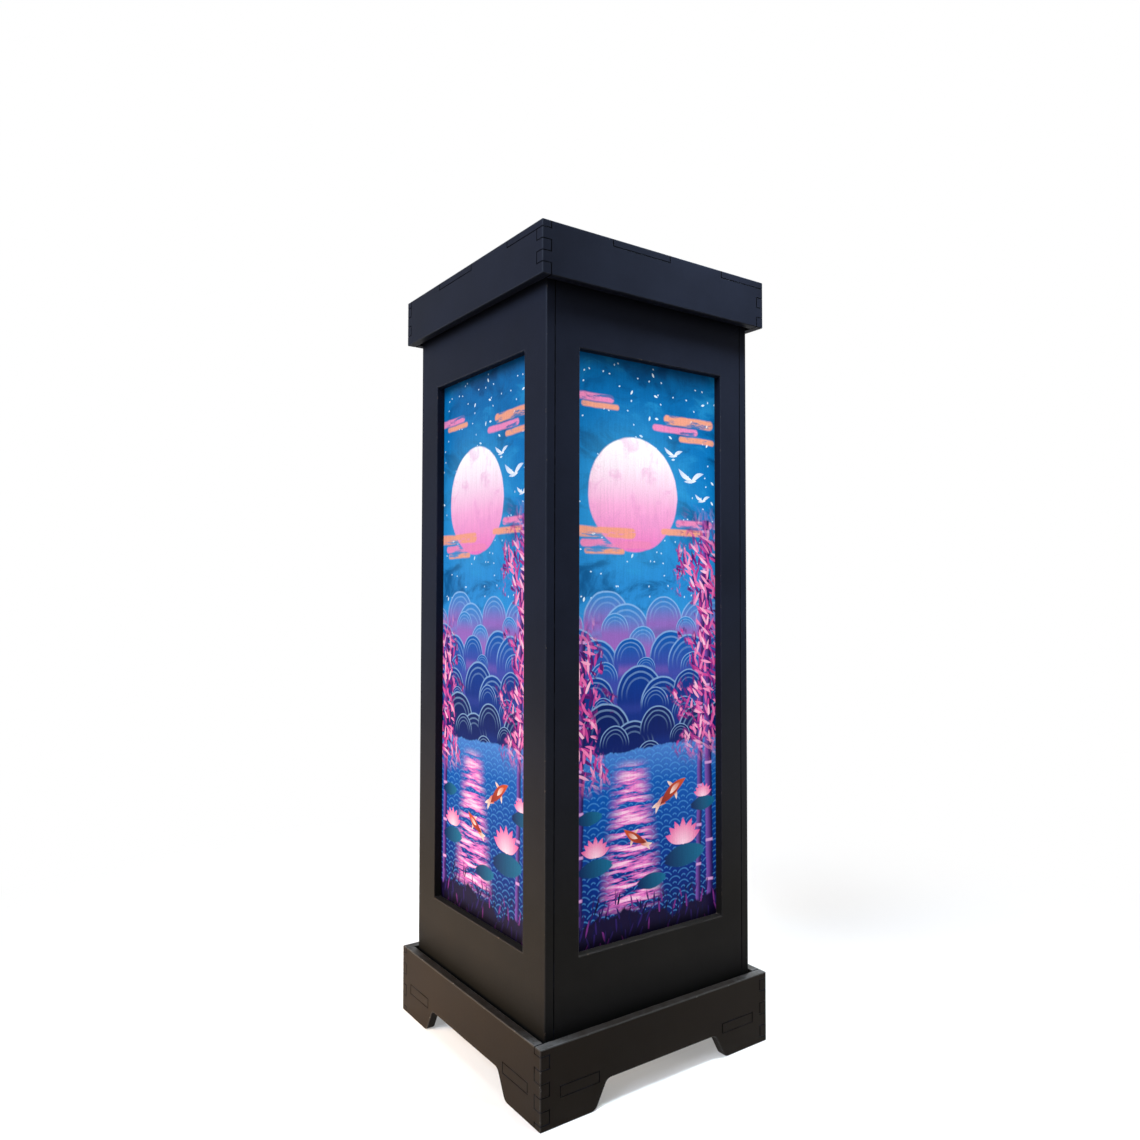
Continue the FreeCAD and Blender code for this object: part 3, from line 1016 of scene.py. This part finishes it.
    def pond(self) -> None:
        """Paint lotus pads and blossoms, and two fish."""
        teal, navy = srgb(24, 104, 140), srgb(12, 26, 78)
        pads = (  # place and half length
            (0.26, 0.37, 0.16),
            (0.02, 0.27, 0.11),
            (-0.36, 0.40, 0.12),
            (0.40, 0.64, 0.10),
            (-0.40, 0.66, 0.09),
        )
        for x, y, s in pads:
            for turn in (0.0, 0.15):
                self.stamp((x, y), turn, (s, s * 0.42), 0.0, navy, teal)
        pink, white = srgb(224, 66, 146), srgb(253, 212, 228)
        for x, y, s in ((0.25, 0.44, 1.05), (-0.36, 0.46, 0.75), (0.40, 0.68, 0.55)):
            for turn in (2.75, 0.39, 2.40, 0.74, 2.05, 1.09, 1.57):
                reach = 0.062 * s
                place = (x + reach * math.cos(turn), y + reach * math.sin(turn))
                self.stamp(place, turn, (0.075 * s, 0.026 * s), 0.0, white, pink)
        red, pale, dark = srgb(206, 80, 44), srgb(248, 226, 214), srgb(120, 36, 36)
        for x, y, turn, s in ((0.17, 0.74, 0.6, 1.0), (-0.10, 0.52, 2.6, 0.8)):
            ahead = (math.cos(turn), math.sin(turn))
            tail = (x - 0.12 * s * ahead[0], y - 0.12 * s * ahead[1])
            for swing in (-0.45, 0.45):
                self.stamp(tail, turn + swing, (0.055 * s, 0.014 * s), 0.5, pale, red)
            for swing in (-1.2, 1.2):
                fin = (x + 0.03 * s * math.cos(turn + swing), y + 0.03 * s * math.sin(turn + swing))
                self.stamp(fin, turn + math.pi - swing, (0.04 * s, 0.012 * s), 0.3, red, pale)
            self.stamp((x, y), turn, (0.12 * s, 0.032 * s), 0.35, dark, red)
            patch = (x + 0.02 * s * ahead[0], y + 0.02 * s * ahead[1])
            self.stamp(patch, turn, (0.05 * s, 0.016 * s), 0.3, pale, red)

    def bank(self) -> None:
        """Paint the near bank: dark grasses along the foot of the window with a few magenta blades."""
        humps = ((0.07, 1.2, 2.4), (0.03, 4.6, 0.7))
        self.lay(self.step(self.bank_of(0.0, humps, 0.10), 0.01), srgb(20, 12, 46))
        blades = (  # seed, colour, chance
            (11.0, srgb(16, 14, 54), 0.8),
            (12.0, srgb(40, 26, 88), 0.6),
            (13.0, srgb(112, 44, 122), 0.3),
        )
        for seed, colour, chance in blades:
            depth = self.bank_of(0.10, humps, 0.10)
            mask, _ = self.scatter(seed, 15.0, 1.5, 1.0, (0.052, 0.007), chance)
            self.lay(mask * self.step(depth, 0.03), colour)


@dataclass(frozen=True)
class PrintedSheet(Finish):
    """A translucent sheet printed with a moonlit lotus pond, glowing softly from the lamp behind it.

    Attributes:
        window_width: the window's width, which is the picture's unit.
        window_height: the window's height.
        window_foot: height of the window's foot.
        light: strength of the light that comes through.
        pigment: how much of its colour the print keeps in other light.
        gloss: strength of the sheet's gloss.
    """

    window_width: float = 77 * MM
    window_height: float = 237.5 * MM
    window_foot: float = 57.5 * MM
    light: float = 0.72
    pigment: float = 0.32
    gloss: float = 0.04

    STREAKS = (90.0, 5.0, 1.0)  # streaks to a window's width, across and up
    FLECKS = 120.0  # flecks to a window's width

    def flat(self, nodes: Nodes) -> Socket:
        """Work out the picture's coordinates: across to the right as seen from outside, and up.

        A sheet lies further from the middle than it reaches to either side, so the larger of x and y tells
        which pair of sides it is on, and its sign which of the two.

        Args:
            nodes: the tree to paint in.

        Returns:
            The coordinates in window widths, from the middle of the window's foot.
        """
        x, y, z = nodes.separate(self.place(nodes))
        front_or_back = nodes.math("GREATER_THAN", abs(y), abs(x))
        along_x = nodes.math("SIGN", y) * (x * -1.0)
        along_y = nodes.math("SIGN", x) * y
        across = along_y.times_plus(1.0 - front_or_back, along_x * front_or_back)
        high = (z - self.window_foot) / self.window_width
        return nodes.combine(across / self.window_width, high)

    def paint(self, nodes: Nodes, shader: bpy.types.Node) -> None:
        """Paint the picture, then the print's fine upright streaks, and light it from behind.

        The window's head and foot are darker, where the rails keep the bulb's light off the sheet.

        Args:
            nodes: the tree to paint in.
            shader: the shader to set.
        """
        flat = self.flat(nodes)
        picture = MoonlitPond(nodes, flat, self.colour)
        picture.draw()
        streak = nodes.noise(nodes.stretched(picture.place, self.STREAKS), 1.0, 3.0, 0.6)
        fleck = nodes.noise(picture.place, self.FLECKS, 1.0)
        shade = streak.times_plus(0.34, fleck.times_plus(0.26, 0.7))
        _, high, _ = nodes.separate(flat)
        head = self.window_height / self.window_width
        shade = shade * nodes.remap(high, head, head - 0.09, 0.3, 1.0)
        shade = shade * nodes.remap(high, 0.0, 0.08, 0.2, 1.0)
        printed = nodes.scaled(picture.colour, shade)
        nodes.fill(shader, {
            "Base Color": nodes.scaled(printed, self.pigment),
            "Emission Color": printed,
            "Emission Strength": self.light,
            "Specular IOR Level": self.gloss,
        })


def merged_copy(node: str) -> tuple[list[list[float]], list[list[int]]]:
    """Copy a CAD node's points with equal ones merged, and its triangles.

    Args:
        node: the CAD node's name.

    Returns:
        Points, and triangles as numbers of points.
    """
    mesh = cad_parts[node].data
    points = np.empty(len(mesh.vertices) * 3, np.float32)
    mesh.vertices.foreach_get("co", points)
    corners = np.empty(len(mesh.loops), np.int32)
    mesh.loops.foreach_get("vertex_index", corners)
    grid = np.round(points.reshape(-1, 3).astype(float) * COPY_GRID).astype(np.int64)
    merged, index = np.unique(grid, axis=0, return_inverse=True)
    return (merged / COPY_GRID).tolist(), index.reshape(-1)[corners].reshape(-1, 3).tolist()


def in_scene(name: str, data: bpy.types.ID) -> bpy.types.Object:
    """Make an object and put it in the scene.

    Args:
        name: the object's name.
        data: its mesh, light or camera.

    Returns:
        The object.
    """
    made = bpy.data.objects.new(name, data)
    bpy.context.scene.collection.objects.link(made)
    return made


def new_piece(name: str, body: str, slot: str, points: np.ndarray, faces: Iterable[Sequence[int]],
              stands_for: Sequence[str]) -> bpy.types.Object:
    """Make a mesh object that rides on a body in place of CAD nodes.

    Args:
        name: the piece's name.
        body: the CAD body that it moves with.
        slot: the record's material slot; not used.
        points: (n, 3) array of points in metres.
        faces: corners of each face.
        stands_for: the CAD nodes that it replaces.

    Returns:
        The object.
    """
    mesh = bpy.data.meshes.new(name)
    mesh.from_pydata(np.asarray(points, float).tolist(), [], list(faces))
    mesh.validate()
    piece = in_scene(name, mesh)
    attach(piece, body)
    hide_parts(*stands_for)
    return piece


def turns(steps: int) -> np.ndarray:
    """Return the angles of a ring's points."""
    return np.arange(steps) * 2 * np.pi / steps


def around(radius: Any, turn: np.ndarray, height: Any) -> np.ndarray:
    """Return the points at radii, angles and heights about the Z axis, in an array with x, y and z last."""
    return np.stack(np.broadcast_arrays(radius * np.cos(turn), radius * np.sin(turn), height), -1)


def ring_quads(rings: int, steps: int) -> np.ndarray:
    """Work out the quads of a grid that closes round its steps and from its last ring to its first.

    Each quad joins a point, the next one on its ring, and the same two on the next ring.

    Args:
        rings: rings of the grid.
        steps: points on a ring.

    Returns:
        (n, 4) array of corners.
    """
    ring, step = np.meshgrid(np.arange(rings), np.arange(steps), indexing="ij")
    here, next_ring = ring * steps, (ring + 1) % rings * steps
    beside = (step + 1) % steps
    return np.stack((here + step, here + beside, next_ring + beside, next_ring + step), -1).reshape(-1, 4)


def welded(points: np.ndarray, quads: np.ndarray) -> tuple[np.ndarray, list[list[int]]]:
    """Merge a grid's equal points, so that its poles are closed.

    Args:
        points: (n, 3) array of points in metres.
        quads: (m, 4) array of corners.

    Returns:
        The points that are left, and the faces: quads, and triangles where a quad's side shrank to a point.
    """
    grid = np.round(points / WELD).astype(np.int64)
    _, first, index = np.unique(grid, axis=0, return_index=True, return_inverse=True)
    corners = index.reshape(-1)[quads]
    shrunk = corners == np.roll(corners, -1, axis=1)
    whole = corners[~shrunk.any(axis=1)]
    wedge = shrunk.sum(axis=1) == 1
    triangles = corners[wedge][~shrunk[wedge]].reshape(-1, 3)
    return points[first], whole.tolist() + triangles.tolist()


def smooth(piece: bpy.types.Object, sharp: float = 35.0) -> None:
    """Shade a piece smoothly, apart from edges that turn by more than so many degrees."""
    piece.data.shade_smooth()
    piece.data.set_sharp_from_angle(angle=math.radians(sharp))


def dress_nodes(finish: Finish, *nodes: str) -> None:
    """Give CAD nodes whose shape is kept a finish.

    Args:
        finish: the finish.
        nodes: the nodes' names.
    """
    for node in nodes:
        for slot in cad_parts[node].material_slots:
            slot.material = finish.material()
        LOG.info("%s: finished as %s", node, finish.name)


@dataclass
class PlateWork:
    """Painted plywood plates on one body.

    Attributes:
        body: the CAD body that the plates move with.
        nodes: the plates' CAD nodes.
        edge: how far a free edge is eased.
        joint_edge: how far an edge that lies against another plate is eased.
        joint_reach: the widest gap at which two plates count as joined.
        sharp: the least turn, in degrees, between two faces that meet at an edge to be eased.
        flat: the most turn, in degrees, between triangles that are joined into one face.
        segments: facets across an eased edge.
        pieces: the finished plates.
    """

    body: str
    nodes: tuple[str, ...]
    edge: float = 0.45 * MM
    joint_edge: float = 0.17 * MM
    joint_reach: float = 0.4 * MM
    sharp: float = 35.0
    flat: float = 0.5
    segments: int = 3
    pieces: list[bpy.types.Object] = field(default_factory=list)

    def build(self, solids: dict[str, BVHTree]) -> None:
        """Copy each plate, join its flat triangles into whole faces and ease its edges.

        Args:
            solids: the solid of every plate on the same body, by node.
        """
        for node in self.nodes:
            others = [solid for name, solid in solids.items() if name != node]
            piece = new_piece(f"{node}_eased", self.body, "black_wood", *merged_copy(node), (node,))
            for _ in PlateSlot:
                piece.data.materials.append(None)
            self.weigh(piece.data, others)
            self.ease(piece)
            self.mark_joints(piece.data, others)
            self.pieces.append(piece)

    def joined(self, place: Vector, others: Sequence[BVHTree]) -> bool:
        """Return whether a place lies against another plate."""
        return any(solid.find_nearest(place, self.joint_reach)[0] is not None for solid in others)

    def weigh(self, mesh: bpy.types.Mesh, others: Sequence[BVHTree]) -> None:
        """Join a copy's flat triangles into whole faces, and say how far each sharp edge is eased.

        Args:
            mesh: the merged copy.
            others: the other plates' solids.
        """
        work = bmesh.new()
        work.from_mesh(mesh)
        flat = math.radians(self.flat)
        bmesh.ops.dissolve_limit(work, angle_limit=flat, verts=work.verts, edges=work.edges)
        weight = work.edges.layers.float.new("bevel_weight_edge")
        for edge in work.edges:
            if edge.calc_face_angle(0.0) < math.radians(self.sharp):
                continue
            middle = (edge.verts[0].co + edge.verts[1].co) / 2
            edge[weight] = self.joint_edge / self.edge if self.joined(middle, others) else 1.0
        work.to_mesh(mesh)
        work.free()

    def ease(self, piece: bpy.types.Object) -> None:
        """Round a plate's weighed edges with a Bevel, and keep its result as the plate's mesh.

        Args:
            piece: the plate.
        """
        bevel = piece.modifiers.new("eased edges", "BEVEL")
        bevel.width = self.edge
        bevel.segments = self.segments
        bevel.limit_method = "WEIGHT"
        bevel.use_clamp_overlap = False
        bevel.harden_normals = True
        bevel.material = PlateSlot.EDGE
        sharp_mesh = piece.data
        sharp_mesh.shade_smooth()
        graph = bpy.context.evaluated_depsgraph_get()
        piece.data = bpy.data.meshes.new_from_object(piece.evaluated_get(graph), depsgraph=graph)
        piece.modifiers.clear()
        bpy.data.meshes.remove(sharp_mesh)

    def mark_joints(self, mesh: bpy.types.Mesh, others: Sequence[BVHTree]) -> None:
        """Put the eased faces that lie against another plate in the joints' slots, by the way they run.

        Args:
            mesh: the eased plate.
            others: the other plates' solids.
        """
        for face in mesh.polygons:
            if face.material_index != PlateSlot.EDGE or not self.joined(face.center, others):
                continue
            corners = np.array([mesh.vertices[corner].co for corner in face.vertices])
            runs_up = np.ptp(corners, axis=0).argmax() == 2
            face.material_index = PlateSlot.UPRIGHT_JOINT if runs_up else PlateSlot.LEVEL_JOINT

    def dress(self, paints: PaintSet) -> None:
        """Give every plate its paints.

        Args:
            paints: the finish of each slot.
        """
        for piece in self.pieces:
            for slot, finish in paints.by_slot().items():
                piece.data.materials[slot] = finish.material()
            LOG.info("%s: %d faces, painted", piece.name, len(piece.data.polygons))


@dataclass
class Base(PlateWork):
    """The footed base: four finger-jointed walls round the floor plate."""

    body: str = "lamp"
    nodes: tuple[str, ...] = ("base_floor", *side_nodes("base_{}_wall"))


@dataclass
class Body(PlateWork):
    """The tall body: four butted panels, each with one window."""

    body: str = "lamp"
    nodes: tuple[str, ...] = side_nodes("body_{}_panel")


@dataclass
class Cap(PlateWork):
    """The lift-off cap: four finger-jointed walls under a thin top plate."""

    body: str = "cap"
    nodes: tuple[str, ...] = ("cap_top", *side_nodes("cap_{}_wall"))


@dataclass
class Windows:
    """The four printed sheets behind the windows.

    Attributes:
        nodes: the sheets' CAD nodes.
    """

    nodes: tuple[str, ...] = side_nodes("print_{}")

    def dress(self, sheet: Finish) -> None:
        """Give every sheet its print."""
        dress_nodes(sheet, *self.nodes)


@dataclass
class Posts:
    """The four battens in the body's corners.

    Attributes:
        prefix: how the battens' CAD nodes are named.
    """

    prefix: str = "post_"

    def dress(self, wood: Finish) -> None:
        """Give every batten its wood."""
        dress_nodes(wood, *(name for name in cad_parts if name.startswith(self.prefix)))


@dataclass(frozen=True)
class Thread:
    """A thin metal sleeve rolled with a round screw thread, with a lip turned in at its foot.

    Attributes:
        crest: the crest's radius.
        depth: how deep the thread is rolled.
        wall: the sheet's thickness.
        lip: the lip's inner radius.
        bend: the outer radius between lip and sleeve.
        pitch: rise of one turn.
        steps: points round a ring.
        rings: rings up the sleeve.
        bend_rings: rings round the bend.
    """

    crest: float
    depth: float
    wall: float
    lip: float
    bend: float = 0.7 * MM
    pitch: float = 3.63 * MM
    steps: int = 72
    rings: int = 90
    bend_rings: int = 6

    def face(self, low: float, high: float, inset: float) -> np.ndarray:
        """Work out one face of the sleeve, from the lip's edge round the bend and up to the rim.

        The radius swings between crest and root with the cosine of the height, in turns of the pitch, less
        the angle round the axis, and the swing fades out over one pitch at both ends.

        Args:
            low: height of the lip.
            high: height of the rim.
            inset: how far the face lies inside the outer one.

        Returns:
            Points as a (rings, steps, 3) array.
        """
        turn = turns(self.steps)
        swing = np.linspace(0.0, np.pi / 2, self.bend_rings)
        round_of = self.bend - inset
        foot = np.concatenate(((self.lip,), self.crest - self.bend + round_of * np.sin(swing)))
        foot_height = np.concatenate(((low + inset,), low + self.bend - round_of * np.cos(swing)))
        start = low + self.bend
        height = np.linspace(start, high, self.rings)[1:]
        fade = np.clip(np.minimum(height - start, high - height) / self.pitch, 0.0, 1.0)
        phase = 2 * np.pi * (height[:, None] - start) / self.pitch - turn
        wave = self.depth * fade[:, None] * (0.5 - 0.5 * np.cos(phase))
        radius = np.concatenate((foot[:, None] + np.zeros_like(turn), self.crest - inset - wave))
        return around(radius, turn, np.concatenate((foot_height, height))[:, None])

    def sleeve(self, node: str, body: str, slot: str) -> bpy.types.Object:
        """Make a sleeve in place of a CAD node: its outer face up, and its inner face back down.

        Args:
            node: the CAD node.
            body: the CAD body that it moves with.
            slot: the record's material slot.

        Returns:
            The piece.
        """
        low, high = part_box(node)
        outer = self.face(low.z, high.z, 0.0)
        inner = self.face(low.z, high.z, self.wall)
        rings = np.concatenate((outer, inner[::-1]))
        points, faces = welded(rings.reshape(-1, 3), ring_quads(*rings.shape[:2]))
        piece = new_piece(f"{node}_threaded", body, slot, points, faces, (node,))
        smooth(piece)
        LOG.info("%s: %d faces, rolled thread", piece.name, len(piece.data.polygons))
        return piece


@dataclass
class Holder:
    """The lamp holder: a moulded cup and flange, a threaded shell, a contact and two cross-headed screws.

    Attributes:
        body: the CAD body that it moves with.
        thread: the shell's thread.
        head_radius: a screw head's radius.
        head_height: a screw head's height.
        shank_radius: a screw shank's radius.
        slot_half: half the width of the recess's arms.
        slot_reach: how far the arms reach from the middle.
        slot_depth: how deep the recess is.
        slot_slope: share of the arms' half width that their sides slope over.
        slot_run: share of the arms' reach that their floor rises over.
        steps: points round a ring of a screw.
        rings: rings across a screw's head.
        metal_pieces: the finished shell and screws.
    """

    body: str = "lamp"
    thread: Thread = Thread(14.2 * MM, 0.5 * MM, 0.3 * MM, 8.0 * MM)
    head_radius: float = 3.2 * MM
    head_height: float = 2.2 * MM
    shank_radius: float = 1.7 * MM
    slot_half: float = 0.45 * MM
    slot_reach: float = 1.9 * MM
    slot_depth: float = 1.3 * MM
    slot_slope: float = 0.3
    slot_run: float = 0.5
    steps: int = 96
    rings: int = 30
    metal_pieces: dict[str, bpy.types.Object] = field(default_factory=dict)

    def build(self) -> None:
        """Make the shell and the screws."""
        self.metal_pieces["shell"] = self.thread.sleeve("holder_shell", self.body, "contact_brass")
        self.metal_pieces["screws"] = self.screws("holder_screws")

    def screw(self, centre: Vector, low: float, high: float) -> np.ndarray:
        """Work out one screw's rings, from the middle of its head out, under the head and down its shank.

        The head is a quarter of an ellipse turned round, and the recess is cut where a place is near either
        of two crossed lines.

        Args:
            centre: the screw's axis.
            low: height of the shank's end.
            high: height of the head's crown.

        Returns:
            Points as a (rings, steps, 3) array.
        """
        turn = turns(self.steps)
        share = np.linspace(0.0, np.pi / 2, self.rings)
        radius = (self.head_radius * np.sin(share))[:, None]
        dome = (high - self.head_height * (1 - np.cos(share)))[:, None]
        across = radius * np.minimum(np.abs(np.cos(turn)), np.abs(np.sin(turn)))
        cut = np.clip((self.slot_half - across) / (self.slot_slope * self.slot_half), 0, 1)
        cut = cut * np.clip((self.slot_reach - radius) / (self.slot_run * self.slot_reach), 0, 1)
        head = around(radius, turn, dome - self.slot_depth * cut)
        seat = high - self.head_height
        shank_radius = np.array((self.shank_radius, self.shank_radius, 0.0))[:, None]
        shank_height = np.array((seat, low + self.shank_radius, low))[:, None]
        shank = around(shank_radius, turn, shank_height)
        return np.concatenate((head, shank)) + np.array((centre.x, centre.y, 0.0))

    def screws(self, node: str) -> bpy.types.Object:
        """Make both screws as one piece, in place of a CAD node.

        Args:
            node: the CAD node.

        Returns:
            The piece.
        """
        low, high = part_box(node)
        middle = (low + high) / 2
        offset = Vector((high.x - self.head_radius - middle.x, 0.0, 0.0))
        both = np.stack([self.screw(middle + side * offset, low.z, high.z) for side in (-1, 1)])
        one = ring_quads(*both.shape[1:3])[: -self.steps, ::-1]
        quads = np.concatenate((one, one + both[0, :, :, 0].size))
        points, faces = welded(both.reshape(-1, 3), quads)
        piece = new_piece(f"{node}_crossed", self.body, "screw_steel", points, faces, (node,))
        smooth(piece)
        LOG.info("%s: %d faces, cross recess", piece.name, len(piece.data.polygons))
        return piece

    def dress(self, moulding: Finish, brass: Finish, plate: Finish) -> None:
        """Give the holder its finishes.

        Args:
            moulding: the cup's finish.
            brass: the shell's and the contact's finish.
            plate: the screws' finish.
        """
        dress_nodes(moulding, "holder_body")
        dress_nodes(brass, "holder_contact")
        self.metal_pieces["shell"].data.materials.append(brass.material())
        self.metal_pieces["screws"].data.materials.append(plate.material())


@dataclass
class Bulb:
    """The screw-in bulb: contact tip, insulator, threaded cap, housing, lit board and opal globe.

    Attributes:
        body: the CAD body that it moves with.
        thread: the cap's thread.
        cap: the finished screw cap.
    """

    body: str = "bulb"
    thread: Thread = Thread(13.1 * MM, 0.55 * MM, 0.2 * MM, 11.5 * MM)
    cap: bpy.types.Object | None = None

    def build(self) -> None:
        """Make the threaded cap."""
        self.cap = self.thread.sleeve("bulb_screw_cap", self.body, "cap_nickel")

    def dress(self, plate: Finish, others: dict[str, Finish]) -> None:
        """Give the bulb its finishes.

        Args:
            plate: the screw cap's finish.
            others: the finishes of the nodes whose shape is kept.
        """
        self.cap.data.materials.append(plate.material())
        for node, finish in others.items():
            dress_nodes(finish, node)


@dataclass(frozen=True)
class SoftLight:
    """A square area light.

    Attributes:
        name: its name.
        place: where it stands.
        target: what it faces.
        size: its side.
        power: its power in watts.
        colour: its colour.
        spread: the angle that its light fills, in degrees.
    """

    name: str
    place: tuple[float, float, float]
    target: tuple[float, float, float]
    size: float
    power: float
    colour: tuple[float, float, float]
    spread: float = 180.0

    def build(self) -> None:
        """Add the light to the scene."""
        light = bpy.data.lights.new(self.name, "AREA")
        light.size = self.size
        light.energy = self.power
        light.color = self.colour
        light.spread = math.radians(self.spread)
        holder = in_scene(self.name, light)
        facing = (Vector(self.target) - Vector(self.place)).to_track_quat("-Z", "Y")
        holder.matrix_world = Matrix.Translation(self.place) @ facing.to_matrix().to_4x4()


@dataclass
class Studio:
    """A pale floor, a white surround and soft lights.

    Attributes:
        floor_finish: the floor's finish.
        floor_radius: the floor's radius.
        floor_steps: points round the floor's rim.
        world_light: strength of the light from all round.
        lights: the lights.
    """

    floor_finish: PaleFloor = PaleFloor("pale floor", (0.94, 0.92, 0.895, 1.0), 0.9)
    floor_radius: float = 6.0
    floor_steps: int = 64
    world_light: float = 0.08
    lights: tuple[SoftLight, ...] = (
        SoftLight("key", (-1.10, -0.28, 0.95), (0.0, 0.0, 0.32), 0.9, 5.6, (0.74, 0.84, 1.0), 70.0),
        SoftLight("cap", (0.07, -0.165, 0.64), (0.03, -0.06, 0.335), 0.12, 0.33, (0.80, 0.92, 1.0), 36.0),
        SoftLight("right low", (0.26, -0.22, 0.07), (0.05, -0.06, 0.03), 0.1, 0.06, (1.0, 0.97, 0.92), 90.0),
        SoftLight("top", (0.0, 0.1, 1.5), (0.0, 0.0, 0.2), 1.0, 11.0, (0.96, 0.98, 1.0)),
        SoftLight("low warm", (-0.27, 0.10, 0.05), (-0.06, 0.04, 0.02), 0.12, 0.38, (1.0, 0.68, 0.36), 80.0),
        SoftLight("back", (0.95, 0.85, 0.80), (0.0, 0.0, 0.18), 0.8, 12.0, (0.92, 0.96, 1.0)),
    )

    def build(self) -> None:
        """Set up the surround, the floor and the lights."""
        bpy.context.scene.view_settings.view_transform = "Standard"
        self.surround()
        self.floor()
        for light in self.lights:
            light.build()

    def surround(self) -> None:
        """Make the world: white to the camera, to gloss and through glass, and a soft light to all else."""
        world = bpy.data.worlds.new("surround")
        bpy.context.scene.world = world
        world.use_nodes = True
        nodes = Nodes(world.node_tree)
        strength = nodes.math("MAXIMUM", nodes.seen(), self.world_light)
        nodes.fill(world.node_tree.nodes["Background"], {"Color": WHITE, "Strength": strength})

    def floor(self) -> None:
        """Make the floor: one round face, its rim a circle."""
        ring = around(self.floor_radius, turns(self.floor_steps), 0.0)
        mesh = bpy.data.meshes.new("floor")
        mesh.from_pydata(ring.tolist(), [], [list(range(self.floor_steps))])
        mesh.materials.append(self.floor_finish.material())
        in_scene("floor", mesh)


@dataclass
class Camera:
    """The photograph's view of the lamp, as fitted to its corners.

    Attributes:
        place: the eye.
        azimuth: direction that it stands in, in degrees from the front towards the right.
        pitch: how far it looks up, in degrees.
        roll: how far it is turned about its line of sight, in degrees.
        lens: focal length in millimetres.
        sensor: the sensor's width in millimetres.
        near: the nearest distance that it shows.
    """

    place: tuple[float, float, float] = (-0.240046, -0.334734, 0.196483)
    azimuth: float = -35.084
    pitch: float = 1.779
    roll: float = -0.102
    lens: float = 27.791
    sensor: float = 36.0
    near: float = 0.01

    def build(self) -> None:
        """Set up the camera and make it the scene's own."""
        data = bpy.data.cameras.new("camera")
        data.sensor_width = self.sensor
        data.lens = self.lens
        data.clip_start = self.near
        holder = in_scene("camera", data)
        turn = Matrix.Rotation(math.radians(self.azimuth), 4, "Z")
        tilt = Matrix.Rotation(math.radians(90 + self.pitch), 4, "X")
        roll = Matrix.Rotation(math.radians(-self.roll), 4, "Z")
        holder.matrix_world = Matrix.Translation(self.place) @ turn @ tilt @ roll
        bpy.context.scene.camera = holder


def main() -> None:
    """Build the lamp's finished pieces in order, then the studio and the camera."""
    logging.basicConfig(level=logging.INFO, format="%(name)s: %(message)s")
    # the joints' near black colours are painted shade in the grooves, partly painted over
    painted_shade_joint = OpenJoint("open joint", srgb(6, 6, 8), 0.85, gloss=0.02, filled=0.15)
    # Body and cap: the black's blue tint is painted cool light; BodyPaint adds painted warm light and shade.
    cool = PaintSet(
        BodyPaint("matte black paint", srgb(25, 28, 39), 0.5),
        BodyPaint("rubbed black edge", srgb(33, 36, 46), 0.44, gloss=0.08, chips=0.35,
                  brown=srgb(34, 31, 29)),
        painted_shade_joint,
        OpenJoint("painted joint", srgb(12, 13, 16), 0.85, gloss=0.02, filled=0.9),
    )
    # Base: the black's brown tint, on its faces and worn edges, is painted warm light from below.
    warm_tint = (1.0, 0.9, 0.78, 1.0)
    warm = PaintSet(
        BlackPaint("matte black paint with painted warm light", srgb(26, 21, 17), 0.5, gloss=0.05, gloss_tint=warm_tint,
                   dust=0.35),
        BlackPaint("worn base edge", srgb(42, 39, 36), 0.44, gloss=0.12, chips=0.9, chip_scale=800.0,
                   bare=srgb(150, 148, 142), dust=0.5),
        painted_shade_joint,
        OpenJoint("half painted joint", srgb(8, 8, 9), 0.85, gloss=0.02, filled=0.5),
    )
    plates = ((Base(), warm), (Body(), cool), (Cap(), cool))
    for group, paints in plates:
        same_body = [node for other, _ in plates if other.body == group.body for node in other.nodes]
        group.build({node: BVHTree.FromPolygons(*merged_copy(node)) for node in same_body})
        group.dress(paints)
    Windows().dress(PrintedSheet("printed sheet", srgb(0, 96, 160), 0.4))
    Posts().dress(BareWood("bare softwood", srgb(196, 160, 112), 0.7))
    dress_nodes(Finish("black rubber", srgb(28, 28, 28), 0.6), "cord_grommet")
    brass = Metal("brass", srgb(205, 170, 95), 0.32)
    nickel = Metal("nickel plate", srgb(200, 196, 188), 0.28)
    holder = Holder()
    holder.build()
    holder.dress(Finish("white moulding", srgb(228, 226, 218), 0.45), brass, nickel)
    bulb = Bulb()
    bulb.build()
    bulb.dress(nickel, {
        "bulb_tip": brass,
        "bulb_insulator": Finish("black glass", srgb(20, 20, 22), 0.25),
        "bulb_housing": Finish("white bulb moulding", srgb(238, 238, 234), 0.35),
        "led_board": Metal("aluminium", srgb(200, 200, 200), 0.4),
        "led_chips": Glow("yellow chips", srgb(250, 220, 120), 0.4, light=2.0),
        "bulb_globe": Glow("opal globe", srgb(255, 246, 228), 0.45, light=0.75),
    })
    Studio().build()
    Camera().build()


if __name__ == "__main__":
    main()
